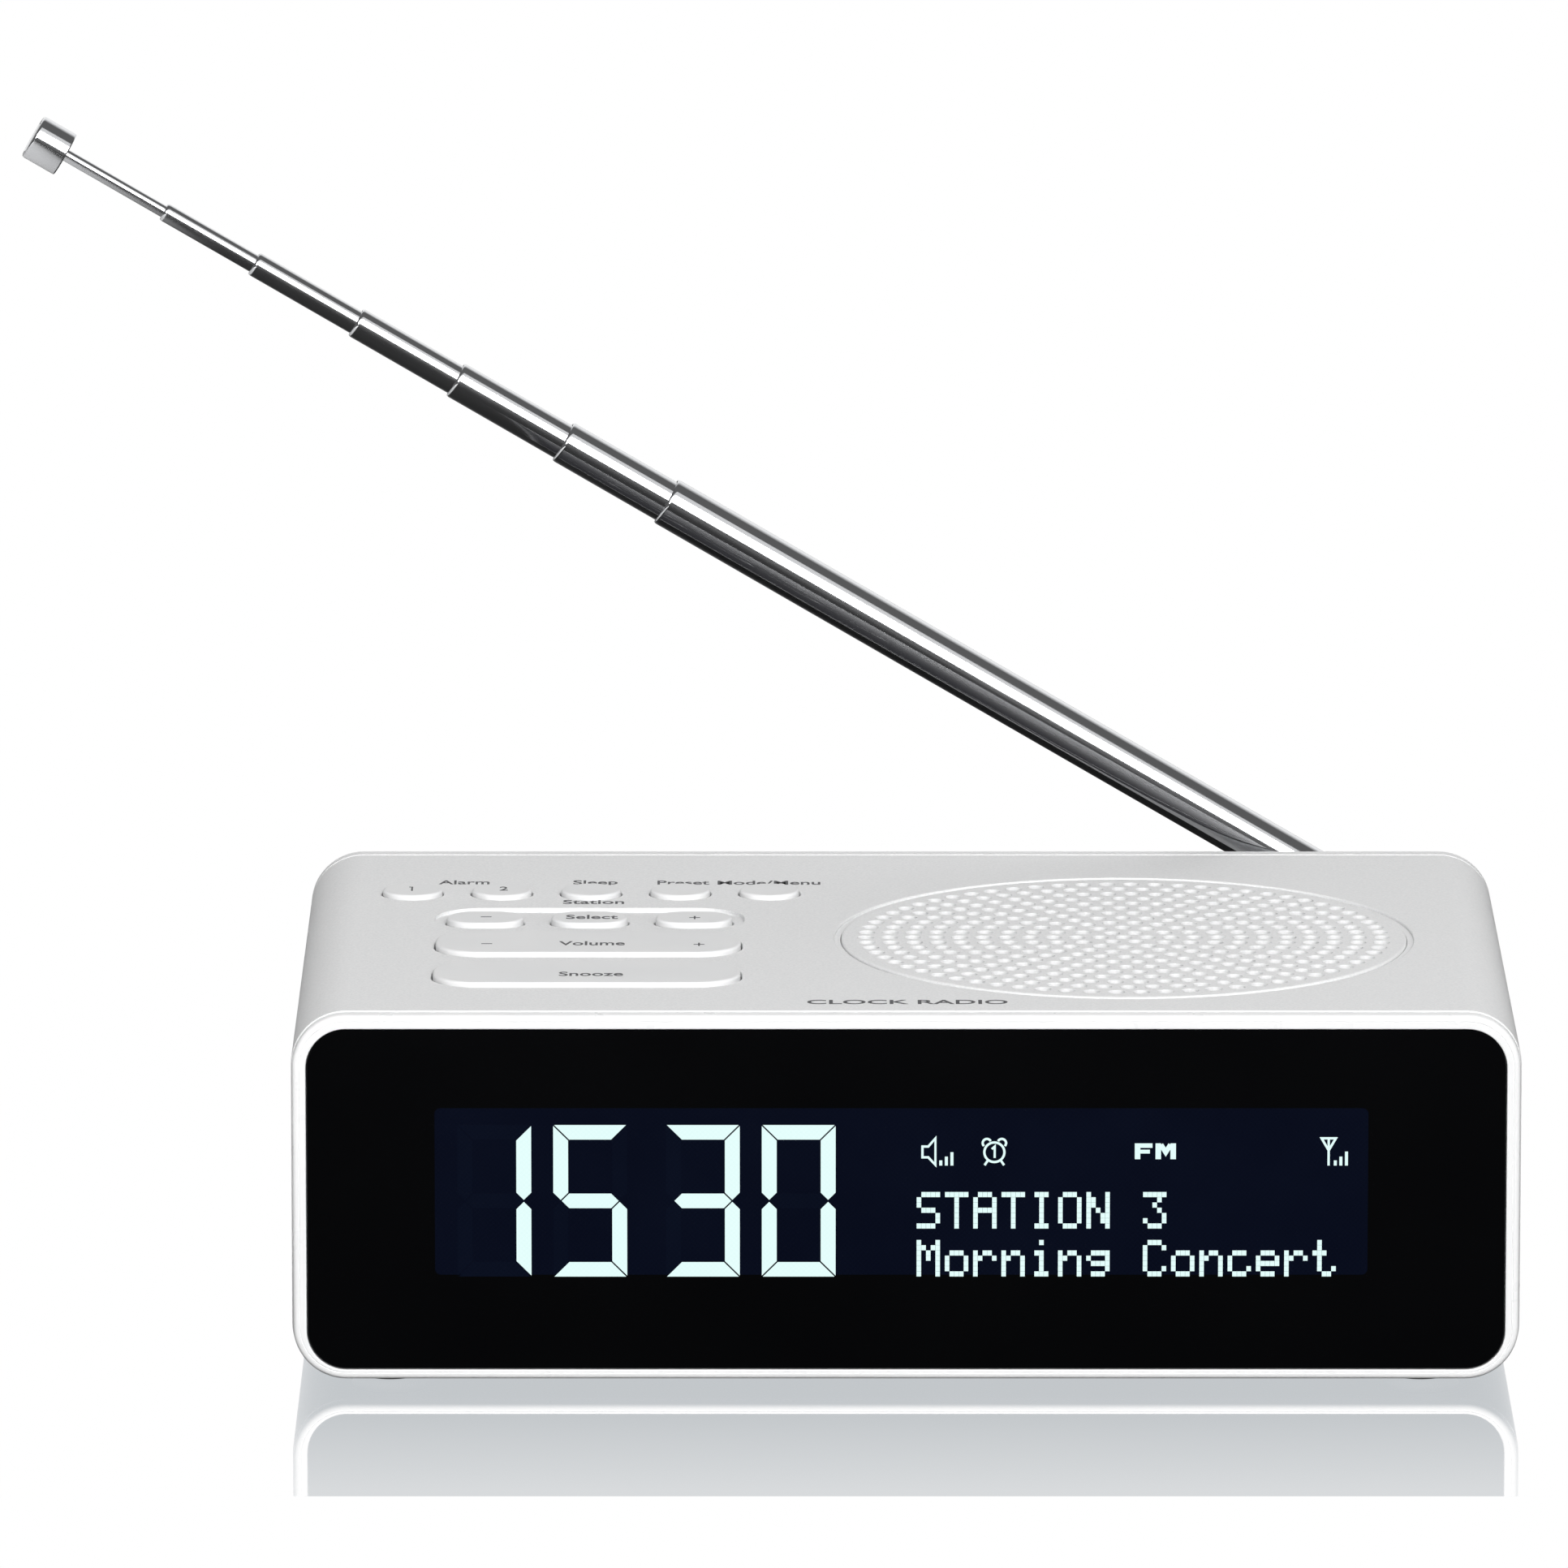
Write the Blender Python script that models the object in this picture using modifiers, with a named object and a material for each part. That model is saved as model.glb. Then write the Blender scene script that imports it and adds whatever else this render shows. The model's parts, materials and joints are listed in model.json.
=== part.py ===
"""A tabletop digital radio with a telescopic antenna, for Blender 4.5.

Run it in Blender's text editor or with: blender --background --python part.py

Each piece of the radio is an object of its own. X runs to the right, Y to the back and Z up,
seen from the front. The origin is the middle of the cabinet's flat underside, and the feet
stand a little below it. All sizes are in metres.
"""

import math

import bmesh
import bpy
from mathutils import Matrix, Vector

MM = 0.001

# ---- Driving dimensions -------------------------------------------------------------------------

# Cabinet: a rounded rectangular sleeve, closed by a front frame and a rear cover
WIDTH = 190 * MM
HEIGHT = 58 * MM
DEPTH = 124 * MM
CORNER = 8.5 * MM
WALL = 2.2 * MM
FIT = 0.3 * MM

# Front frame, the lens that it carries and the display behind the lens
FRAME_LIP = 2.5 * MM
FRAME_STEP = 0.2 * MM
FRAME_BORDER = 2.0 * MM
FRAME_ROUND = 0.7 * MM
FRAME_PANEL = 2.0 * MM
FRAME_SKIRT = 3.2 * MM
SKIRT_WALL = 1.6 * MM
LENS_THICK = 1.8 * MM
LENS_INSET = 0.2 * MM
LENS_EDGE = 0.3 * MM
WINDOW_WIDTH = 145.4 * MM
WINDOW_HEIGHT = 27.4 * MM
WINDOW_X = -0.8 * MM
WINDOW_Z = 30.2 * MM
WINDOW_MARGIN = 0.6 * MM
GLASS_EDGE = 2.8 * MM
GLASS_THICK = 2.6 * MM
LIGHT_THICK = 2.8 * MM
HOLDER_WALL = 2.6 * MM
BOARD = 1.6 * MM
DISPLAY_BOARD_EDGE = 4.6 * MM

# Rear cover
COVER_THICK = 3.2 * MM
COVER_SKIRT = 1.8 * MM

# Feet, set in round pockets
FOOT_RADIUS = 6.0 * MM
FOOT_PROUD = 1.8 * MM
FOOT_POCKET = 1.0 * MM
FOOT_INSET_X = 15 * MM
FOOT_INSET_Y = 13 * MM

# Controls, in four rows on the left of the top
KEYS_X = -49.6 * MM
ROUND_ROW_Y = 28 * MM
ROUND_PITCH = 14.2 * MM
ROUND_RADIUS = 5.1 * MM
OVAL_ROW_Y = 6.8 * MM
OVAL_PITCH = 16.5 * MM
OVAL_WIDTH = 12.4 * MM
OVAL_DEPTH = 9.4 * MM
RECESS_Y = 8.5 * MM
RECESS_WIDTH = 49.0 * MM
RECESS_LENGTH = 17.6 * MM
RECESS_DEEP = 0.8 * MM
RECESS_CORNER = 7.92 * MM
RECESS_RUN_OUT = 0.05 * MM
PILL_WIDTH = 48.2 * MM
PILL_DEPTH = 16.6 * MM
PILL_CORNER = 7.2 * MM
VOLUME_Y = -11.6 * MM
SNOOZE_Y = -34 * MM
KEY_GAP = 0.3 * MM
KEY_PROUD = 0.9 * MM
KEY_EDGE = 0.35 * MM
KEY_FLANGE = 1.0 * MM
FLANGE_THICK = 1.2 * MM
STEM_RADIUS = 1.5 * MM
STEM_LENGTH = 3.0 * MM
PILL_STEM_X = 16 * MM
ROCKER_DROP = 1.0 * MM
PIVOT_RADIUS = 1.0 * MM
PIVOT_REACH = 3.4 * MM
LUG_WIDTH = 5 * MM
LUG_THICK = 2 * MM

# Key mat and key board under the controls, hung on four stakes
MAT_THICK = 1.0 * MM
DOME_RADIUS = 3.4 * MM
DOME_HEIGHT = 2.1 * MM
WELL_GAP = 0.4 * MM
WELL_TRAVEL = 1.3 * MM
KEY_BOARD_WIDTH = 76 * MM
KEY_BOARD_LENGTH = 86 * MM
KEY_BOARD_Y = -3 * MM
STAKE_INSET = 3.5 * MM
STAKE_RADIUS = 1.2 * MM
STAKE_SHOULDER = 2.5 * MM

# Speaker under a round grille on the right of the top
SPEAKER_X = 34.6 * MM
SPEAKER_Y = -5.0 * MM
GRILLE_OPENING = 45.5 * MM
GRILLE_GROOVE = 1.0 * MM
GRILLE_THICK = 1.3 * MM
GRILLE_LEDGE = 3.0 * MM
SPEAKER_RING = 2.0 * MM
SPEAKER_SIDE = 78 * MM
SPEAKER_CORNER = 17.3 * MM
SPEAKER_FLANGE = 1.6 * MM
SPEAKER_SCREWS = 44.6 * MM
SCREW_LAND = 3.9 * MM
CONE_RADIUS = 35.5 * MM
BASKET_WALL = 1.2 * MM
BASKET_HEIGHT = 18 * MM
BASKET_FLOOR_RADIUS = 22 * MM
BASKET_WINDOW = 16 * MM
COIL_RADIUS = 9.6 * MM
MAGNET_RADIUS = 25 * MM
MAGNET_HEIGHT = 12 * MM
MAGNET_EDGE = 1 * MM
POLE_PLATE = 3 * MM
CONE_SKIN = 0.6 * MM
SURROUND_DIP = 1.2 * MM
DUST_CAP_RISE = 3 * MM
BASKET_SHOULDER = 3 * MM

# Main board on four posts
BOARD_WIDTH = 168 * MM
BOARD_FRONT_INSET = 18 * MM
BOARD_REAR_INSET = 12 * MM
BOARD_Z = 9 * MM
POST_RADIUS = 3.2 * MM
POST_INSET = 5 * MM
CAN_SIZE = (30 * MM, 24 * MM, 5 * MM)
CAN_PLACE = (-22 * MM, 24 * MM)
CHIP_SIZE = (12 * MM, 12 * MM, 2.4 * MM)
CHIP_PLACE = (58 * MM, -30 * MM)
CAPACITOR_RADIUS = 4 * MM
CAPACITOR_HEIGHT = 11 * MM
CAPACITOR_PLACE = (-66 * MM, -22 * MM)

# Ribbons and the speaker's lead
RIBBON_THICK = 0.4 * MM
RIBBON_BEND = 3 * MM
RIBBON_REST = 9 * MM
DISPLAY_RIBBON_WIDTH = 22 * MM
DISPLAY_RIBBON_X = -30 * MM
KEY_RIBBON_WIDTH = 16 * MM
KEY_RIBBON_X = -70 * MM
KEY_RIBBON_INSET = 8 * MM
LEAD_RADIUS = 0.7 * MM
LEAD_CLEAR = 8 * MM
LEAD_START = (-3 * MM, -20 * MM)
LEAD_END_Y = -24 * MM
LEAD_PULL = (6 * MM, -2 * MM, -14 * MM)
LEAD_RISE = 12 * MM
LEAD_POINTS = 16

# Sockets at the rear
DC_X = -60 * MM
DC_SIZE = (9 * MM, 14 * MM, 11 * MM)
DC_BORE = 3.1 * MM
DC_BORE_DEPTH = 9.5 * MM
DC_PIN = 1.0 * MM
DC_PIN_SET_BACK = 1.2 * MM
DC_HOLE = 4.4 * MM
PHONES_X = -38 * MM
PHONES_SIZE = (8 * MM, 12 * MM, 7 * MM)
PHONES_BORE = 1.8 * MM
PHONES_BORE_DEPTH = 10 * MM
PHONES_HOLE = 3.4 * MM

# Screws
REAR_SCREW = 1.45 * MM
REAR_SCREW_LENGTH = 11 * MM
REAR_HEAD = 3.0 * MM
REAR_HEAD_THICK = 2.0 * MM
REAR_BOSS = 4.0 * MM
REAR_BOSS_LENGTH = 12 * MM
REAR_SCREW_INSET = 4.4 * MM  # from the wall's inner face
SMALL_SCREW = 1.0 * MM
SMALL_HEAD = 2.1 * MM
SMALL_HEAD_THICK = 1.2 * MM
SMALL_SCREW_LENGTH = 4.6 * MM
SPEAKER_SCREW_LENGTH = 3.4 * MM

# Antenna: a swivel in the rear cover, an elbow, six tubes and a rod with a cap
ANTENNA_X = 76 * MM
ANTENNA_Z = 47.4 * MM
ANTENNA_STAND_OFF = 6.0 * MM
ANTENNA_RISE = 30.4
SWIVEL_RADIUS = 6.0 * MM
SWIVEL_DISC = 2.0 * MM
SHAFT_RADIUS = 2.5 * MM
SHAFT_LENGTH = 8.5 * MM
NUT_RADIUS = 5.2 * MM
NUT_THICK = 3.0 * MM
EAR_THICK = 1.8 * MM
EAR_RADIUS = 3.4 * MM
TONGUE_THICK = 4.0 * MM
TONGUE_LENGTH = 7.0 * MM
PIN_RADIUS = 1.1 * MM
PIN_HEAD = 1.8 * MM
PIN_HEAD_THICK = 0.6 * MM
TUBE_RADII = [4.0 * MM, 3.5 * MM, 3.0 * MM, 2.5 * MM, 2.0 * MM, 1.5 * MM]
ROD_RADIUS = 1.0 * MM
TUBE_WALL = 0.3 * MM
TUBE_LENGTH = 120 * MM
FIRST_TUBE_END = 132 * MM
DRAWN = [19.2 * MM, 20.0 * MM, 18.5 * MM, 18.9 * MM, 16.7 * MM, 17.9 * MM]
CAP_RADIUS = 3.7 * MM
CAP_LENGTH = 6.0 * MM

# ---- Places worked out from the dimensions ------------------------------------------------------

FRONT = -DEPTH / 2
REAR = DEPTH / 2
INNER_TOP = HEIGHT - WALL
SHELL_FRONT = FRONT + FRAME_LIP + FIT
COVER_INNER = REAR - COVER_THICK
SHELL_REAR = COVER_INNER - FIT

LENS_FRONT = FRONT + LENS_INSET
LENS_BACK = LENS_FRONT + LENS_THICK
PANEL_FRONT = LENS_BACK + FIT
PANEL_BACK = PANEL_FRONT + FRAME_PANEL
GLASS_FRONT = PANEL_BACK + FIT
GLASS_BACK = GLASS_FRONT + GLASS_THICK
LIGHT_FRONT = GLASS_BACK + FIT
LIGHT_BACK = LIGHT_FRONT + LIGHT_THICK
DISPLAY_FRONT = LIGHT_BACK + FIT
GLASS_WIDTH = WINDOW_WIDTH + 2 * GLASS_EDGE
GLASS_HEIGHT = WINDOW_HEIGHT + 2 * GLASS_EDGE

FLANGE_TOP = INNER_TOP - FIT
FLANGE_BOTTOM = FLANGE_TOP - FLANGE_THICK
STEM_BOTTOM = FLANGE_BOTTOM - STEM_LENGTH
ROCKER_FLANGE_TOP = INNER_TOP - ROCKER_DROP
ROCKER_FLANGE_BOTTOM = ROCKER_FLANGE_TOP - FLANGE_THICK
ROCKER_AXIS_Z = ROCKER_FLANGE_BOTTOM + FLANGE_THICK / 2
WELL_FLOOR = STEM_BOTTOM - WELL_TRAVEL
MAT_TOP = WELL_FLOOR - FIT
MAT_BOTTOM = MAT_TOP - MAT_THICK
KEY_BOARD_TOP = MAT_BOTTOM - FIT
KEY_BOARD_BOTTOM = KEY_BOARD_TOP - BOARD

GRILLE_RADIUS = GRILLE_OPENING - GRILLE_GROOVE
GRILLE_SEAT = HEIGHT - GRILLE_THICK - FIT
SOUND_HOLE = GRILLE_OPENING - GRILLE_LEDGE
RING_RADIUS = max(GRILLE_OPENING + GRILLE_LEDGE, SPEAKER_SCREWS + SCREW_LAND)
RING_BOTTOM = INNER_TOP - SPEAKER_RING
FLANGE_FACE = RING_BOTTOM - FIT
BASKET_TOP = FLANGE_FACE - SPEAKER_FLANGE
BASKET_FLOOR = BASKET_TOP - BASKET_HEIGHT
MAGNET_TOP = BASKET_FLOOR - FIT

BOARD_LENGTH = DEPTH - BOARD_FRONT_INSET - BOARD_REAR_INSET
BOARD_Y = (BOARD_FRONT_INSET - BOARD_REAR_INSET) / 2
BOARD_TOP = BOARD_Z + BOARD
ON_BOARD = BOARD_TOP + FIT
DC_Z = ON_BOARD + DC_SIZE[2] / 2
PHONES_Z = ON_BOARD + PHONES_SIZE[2] / 2
SOCKET_FACE = COVER_INNER - FIT

ANTENNA_Y = REAR + ANTENNA_STAND_OFF
DISC_FRONT = REAR + FIT
EAR_INNER = TONGUE_THICK / 2 + FIT
EAR_OUTER = EAR_INNER + EAR_THICK
ROUND_NAMES = ["alarm_1", "alarm_2", "sleep", "preset", "mode"]
OVAL_NAMES = ["station_down", "select", "station_up"]
OVERLAP = 0.5 * MM  # how far a cutter or a joined piece runs past a face
END_FLAT = 0.01 * MM  # what a fully round end keeps of its straight side
STEPS = 20  # sides of a small round piece
FINE_STEPS = 12  # sides of a screw, a stem or a hole for one
WIDE_STEPS = 48  # sides of the grille and its opening

parts = None
cutters = None
materials = {}


# ---- Scene and materials ------------------------------------------------------------------------


def clear_scene():
    for thing in list(bpy.data.objects):
        bpy.data.objects.remove(thing, do_unlink=True)


def new_collection(name):
    group = bpy.data.collections.new(name)
    bpy.context.scene.collection.children.link(group)
    return group


def make_material(name, colour, roughness, metallic=0.0, alpha=1.0):
    finish = bpy.data.materials.new(name)
    finish.use_nodes = True
    shader = finish.node_tree.nodes["Principled BSDF"]
    shader.inputs["Base Color"].default_value = (*colour, 1.0)
    shader.inputs["Roughness"].default_value = roughness
    shader.inputs["Metallic"].default_value = metallic
    shader.inputs["Alpha"].default_value = alpha
    finish.diffuse_color = (*colour, 1.0)
    materials[name] = finish


def make_materials():
    make_material("white plastic", (0.80, 0.80, 0.80), 0.45)
    make_material("white frame", (0.88, 0.88, 0.88), 0.30)
    make_material("black lens", (0.006, 0.006, 0.008), 0.06)
    make_material("display glass", (0.01, 0.02, 0.05), 0.10)
    make_material("diffuser", (0.75, 0.82, 0.85), 0.50)
    make_material("grey plastic", (0.30, 0.30, 0.31), 0.55)
    make_material("silicone", (0.42, 0.43, 0.44), 0.70)
    make_material("circuit board", (0.02, 0.16, 0.07), 0.40)
    make_material("black plastic", (0.02, 0.02, 0.02), 0.50)
    make_material("tinned steel", (0.62, 0.63, 0.64), 0.35, 1.0)
    make_material("paper cone", (0.03, 0.03, 0.03), 0.85)
    make_material("ferrite", (0.05, 0.05, 0.05), 0.60)
    make_material("rubber", (0.04, 0.04, 0.04), 0.80)
    make_material("ribbon", (0.70, 0.70, 0.68), 0.50)
    make_material("red wire", (0.45, 0.03, 0.03), 0.50)
    make_material("chrome", (0.78, 0.78, 0.80), 0.08, 1.0)


# ---- Outlines -----------------------------------------------------------------------------------


def circle(radius, centre=(0.0, 0.0), steps=STEPS):
    angles = [2 * math.pi * step / steps for step in range(steps)]
    return [(centre[0] + radius * math.cos(a), centre[1] + radius * math.sin(a)) for a in angles]


def rounded_rect(width, height, radius, centre=(0.0, 0.0), steps=6):
    """A rectangle with round corners, as points that run anticlockwise."""
    points = []
    for corner, (side_x, side_y) in enumerate([(1, 1), (-1, 1), (-1, -1), (1, -1)]):
        middle_x = centre[0] + side_x * (width / 2 - radius)
        middle_y = centre[1] + side_y * (height / 2 - radius)
        for step in range(steps + 1):
            angle = math.pi / 2 * (corner + step / steps)
            point = (middle_x + radius * math.cos(angle), middle_y + radius * math.sin(angle))
            if not points or math.dist(point, points[-1]) > 1e-6:
                points.append(point)
    if math.dist(points[0], points[-1]) < 1e-6:
        points.pop()
    return points


def arc(centre, radius, start, end, steps=6):
    """Points along an arc, with its angles in degrees."""
    angles = [math.radians(start + (end - start) * step / steps) for step in range(steps + 1)]
    return [(centre[0] + radius * math.cos(a), centre[1] + radius * math.sin(a)) for a in angles]


# ---- Solids -------------------------------------------------------------------------------------


def add_object(name, mesh, finish=None):
    thing = bpy.data.objects.new(name, mesh)
    parts.objects.link(thing)
    if finish:
        mesh.materials.clear()
        mesh.materials.append(materials[finish])
    return thing


def mesh_from(thing, name):
    """A plain welded mesh of an object as it is evaluated, and the object is removed."""
    evaluated = thing.evaluated_get(bpy.context.evaluated_depsgraph_get())
    mesh = bpy.data.meshes.new_from_object(evaluated)
    mesh.transform(thing.matrix_world)
    mesh.name = name
    bpy.data.objects.remove(thing, do_unlink=True)
    form = bmesh.new()
    form.from_mesh(mesh)
    bmesh.ops.remove_doubles(form, verts=form.verts, dist=1e-6)
    bmesh.ops.dissolve_degenerate(form, edges=form.edges, dist=1e-7)
    bmesh.ops.recalc_face_normals(form, faces=form.faces)
    form.to_mesh(mesh)
    form.free()
    return mesh


NORMALS = {
    "Z": Matrix.Identity(4),
    "Y": Matrix.Rotation(math.pi / 2, 4, "X"),
    "X": Matrix(((0, 0, 1, 0), (1, 0, 0, 0), (0, 1, 0, 0), (0, 0, 0, 1))),
}


def flat(name, outlines, low, high, finish=None, normal="Z"):
    """A flat piece between two heights along its normal. Outlines after the first are holes.

    An outline's two numbers are X and Y for a normal of Z, X and Z for Y, and Y and Z for X.
    """
    curve = bpy.data.curves.new(name, "CURVE")
    curve.dimensions = "2D"
    curve.fill_mode = "BOTH"
    curve.extrude = (high - low) / 2
    for outline in outlines:
        spline = curve.splines.new("POLY")
        spline.points.add(len(outline) - 1)
        for point, (across, up) in zip(spline.points, outline):
            point.co = (across, up, 0, 1)
        spline.use_cyclic_u = True
    guide = bpy.data.objects.new(name, curve)
    parts.objects.link(guide)
    mesh = mesh_from(guide, name)
    middle = Vector([(low + high) / 2 if axis == normal else 0 for axis in "XYZ"])
    mesh.transform(Matrix.Translation(middle) @ NORMALS[normal])
    return add_object(name, mesh, finish)


def box(name, size, centre, finish=None):
    form = bmesh.new()
    bmesh.ops.create_cube(form, size=1)
    bmesh.ops.scale(form, vec=size, verts=form.verts)
    bmesh.ops.translate(form, vec=centre, verts=form.verts)
    mesh = bpy.data.meshes.new(name)
    form.to_mesh(mesh)
    form.free()
    return add_object(name, mesh, finish)


AXES = {
    "Z": Matrix.Identity(4),
    "Y": Matrix.Rotation(-math.pi / 2, 4, "X"),
    "X": Matrix.Rotation(math.pi / 2, 4, "Y"),
}


def turned(name, profile, finish=None, centre=(0, 0, 0), axis="Z", closed=False, steps=STEPS):
    """A turned piece. Its profile's points are (radius, height), down the outer side."""
    count = len(profile)
    edges = [(index, index + 1) for index in range(count - 1)]
    if closed:
        edges.append((count - 1, 0))
    mesh = bpy.data.meshes.new(name)
    mesh.from_pydata([(radius, 0, height) for radius, height in profile], edges, [])
    guide = bpy.data.objects.new(name, mesh)
    parts.objects.link(guide)
    screw = guide.modifiers.new("Turn", "SCREW")
    screw.steps = steps
    screw.render_steps = steps
    screw.use_merge_vertices = True
    screw.merge_threshold = 1e-6
    solid = mesh_from(guide, name)
    solid.transform(Matrix.Translation(centre) @ AXES[axis])
    return add_object(name, solid, finish)


def rod(name, radius, low, high, centre=(0, 0, 0), axis="Z", finish=None, steps=FINE_STEPS):
    profile = [(0, high), (radius, high), (radius, low), (0, low)]
    return turned(name, profile, finish, centre, axis, steps=steps)


def strip(name, path, width, thick, x, finish):
    """A ribbon that follows (Y, Z) points, with its width along X."""
    count = len(path)
    points = [(x + side * width / 2, y, z) for side in (-1, 1) for y, z in path]
    faces = [(i, i + 1, count + i + 1, count + i) for i in range(count - 1)]
    mesh = bpy.data.meshes.new(name)
    mesh.from_pydata(points, [], faces)
    ribbon = add_object(name, mesh, finish)
    solidify = ribbon.modifiers.new("Thickness", "SOLIDIFY")
    solidify.thickness = thick
    solidify.offset = 0
    return ribbon


def retire(tool):
    """Keep a piece that another one uses, out of the radio itself."""
    parts.objects.unlink(tool)
    cutters.objects.link(tool)
    tool.hide_render = True
    tool.display_type = "WIRE"


def combine(target, tool, operation):
    change = target.modifiers.new(tool.name, "BOOLEAN")
    change.operation = operation
    change.solver = "EXACT"
    change.object = tool
    retire(tool)


def cut(target, *tools):
    for tool in tools:
        combine(target, tool, "DIFFERENCE")


def join(target, *tools):
    for tool in tools:
        combine(target, tool, "UNION")


def merged(name, pieces):
    """One mesh of several loose solids, so that one modifier can use them all."""
    form = bmesh.new()
    for piece in pieces:
        form.from_mesh(piece.data)
        bpy.data.objects.remove(piece, do_unlink=True)
    mesh = bpy.data.meshes.new(name)
    form.to_mesh(mesh)
    form.free()
    return add_object(name, mesh)


def soften(thing, width, segments=2):
    bevel = thing.modifiers.new("Soft edges", "BEVEL")
    bevel.width = width
    bevel.segments = segments
    bevel.limit_method = "ANGLE"
    bevel.angle_limit = math.radians(40)


def set_origin(thing, origin):
    """Move an object's origin without moving the object."""
    thing.data.transform(Matrix.Translation(-Vector(origin)))
    thing.location = origin


def smooth(thing, angle=35):
    thing.data.shade_smooth()
    thing.data.set_sharp_from_angle(angle=math.radians(angle))


# ---- Layout that several pieces share -----------------------------------------------------------


def section(inset=0.0):
    """The cabinet's outline seen from the front, set in by a distance."""
    radius = max(CORNER - inset, 0.5 * MM)
    return rounded_rect(WIDTH - 2 * inset, HEIGHT - 2 * inset, radius, (0, HEIGHT / 2))


def round_places():
    first = KEYS_X - 2 * ROUND_PITCH
    return [(first + ROUND_PITCH * index, ROUND_ROW_Y) for index in range(5)]


def oval_places():
    return [(KEYS_X + OVAL_PITCH * index, OVAL_ROW_Y) for index in (-1, 0, 1)]


def pill(grow=0.0, centre=(0.0, 0.0)):
    width, depth = PILL_WIDTH + 2 * grow, PILL_DEPTH + 2 * grow
    radius = min(PILL_CORNER + grow, depth / 2 - END_FLAT)
    return rounded_rect(width, depth, radius, centre)


def oval(grow=0.0, centre=(0.0, 0.0)):
    width, depth = OVAL_WIDTH + 2 * grow, OVAL_DEPTH + 2 * grow
    return rounded_rect(width, depth, depth / 2 - END_FLAT, centre)


def stem_places():
    """Every place where a control presses the key mat."""
    places = round_places() + oval_places()
    for row in (VOLUME_Y, SNOOZE_Y):
        places += [(KEYS_X - PILL_STEM_X, row), (KEYS_X + PILL_STEM_X, row)]
    return places


def stake_places():
    reach_x = KEY_BOARD_WIDTH / 2 - STAKE_INSET
    reach_y = KEY_BOARD_LENGTH / 2 - STAKE_INSET
    return [(KEYS_X + x, KEY_BOARD_Y + y) for x in (-reach_x, reach_x) for y in (-reach_y, reach_y)]


def speaker_screw_places():
    reach = SPEAKER_SCREWS / math.sqrt(2)
    return [(SPEAKER_X + x, SPEAKER_Y + y) for x in (-reach, reach) for y in (-reach, reach)]


def post_places():
    reach_x = BOARD_WIDTH / 2 - POST_INSET
    reach_y = BOARD_LENGTH / 2 - POST_INSET
    return [(x, BOARD_Y + y) for x in (-reach_x, reach_x) for y in (-reach_y, reach_y)]


def rear_screw_places():
    """(X, Z) of the rear screws."""
    inset = WALL + REAR_SCREW_INSET
    reach = WIDTH / 2 - inset
    heights = (inset, HEIGHT - inset)
    return [(x, z) for x in (-reach, reach) for z in heights]


def foot_places():
    reach_x = WIDTH / 2 - FOOT_INSET_X
    reach_y = DEPTH / 2 - FOOT_INSET_Y
    return [(x, y) for y in (-reach_y, reach_y) for x in (-reach_x, reach_x)]


# ---- Cabinet ------------------------------------------------------------------------------------


def key_openings():
    top, low = HEIGHT + OVERLAP, INNER_TOP - OVERLAP
    openings = []
    for place in round_places():
        openings.append(flat("opening", [circle(ROUND_RADIUS + KEY_GAP, place)], low, top))
    for place in oval_places():
        openings.append(flat("opening", [oval(KEY_GAP, place)], low, top))
    for row in (VOLUME_Y, SNOOZE_Y):
        openings.append(flat("opening", [pill(KEY_GAP, (KEYS_X, row))], low, top))
    return merged("key openings", openings)


def station_recess():
    """A scoop that is deepest at its rear wall and runs out towards the front."""
    corner = min(RECESS_CORNER, RECESS_LENGTH / 2 - END_FLAT)
    outline = rounded_rect(RECESS_WIDTH, RECESS_LENGTH, corner, (KEYS_X, RECESS_Y))
    scoop = flat("station recess", [outline], HEIGHT - RECESS_DEEP, HEIGHT + 2 * RECESS_DEEP)
    front = RECESS_Y - RECESS_LENGTH / 2
    for vertex in scoop.data.vertices:
        if vertex.co.z < HEIGHT:
            share = (vertex.co.y - front) / RECESS_LENGTH
            vertex.co.z = HEIGHT + RECESS_RUN_OUT - (RECESS_DEEP + RECESS_RUN_OUT) * share
    return scoop


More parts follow.
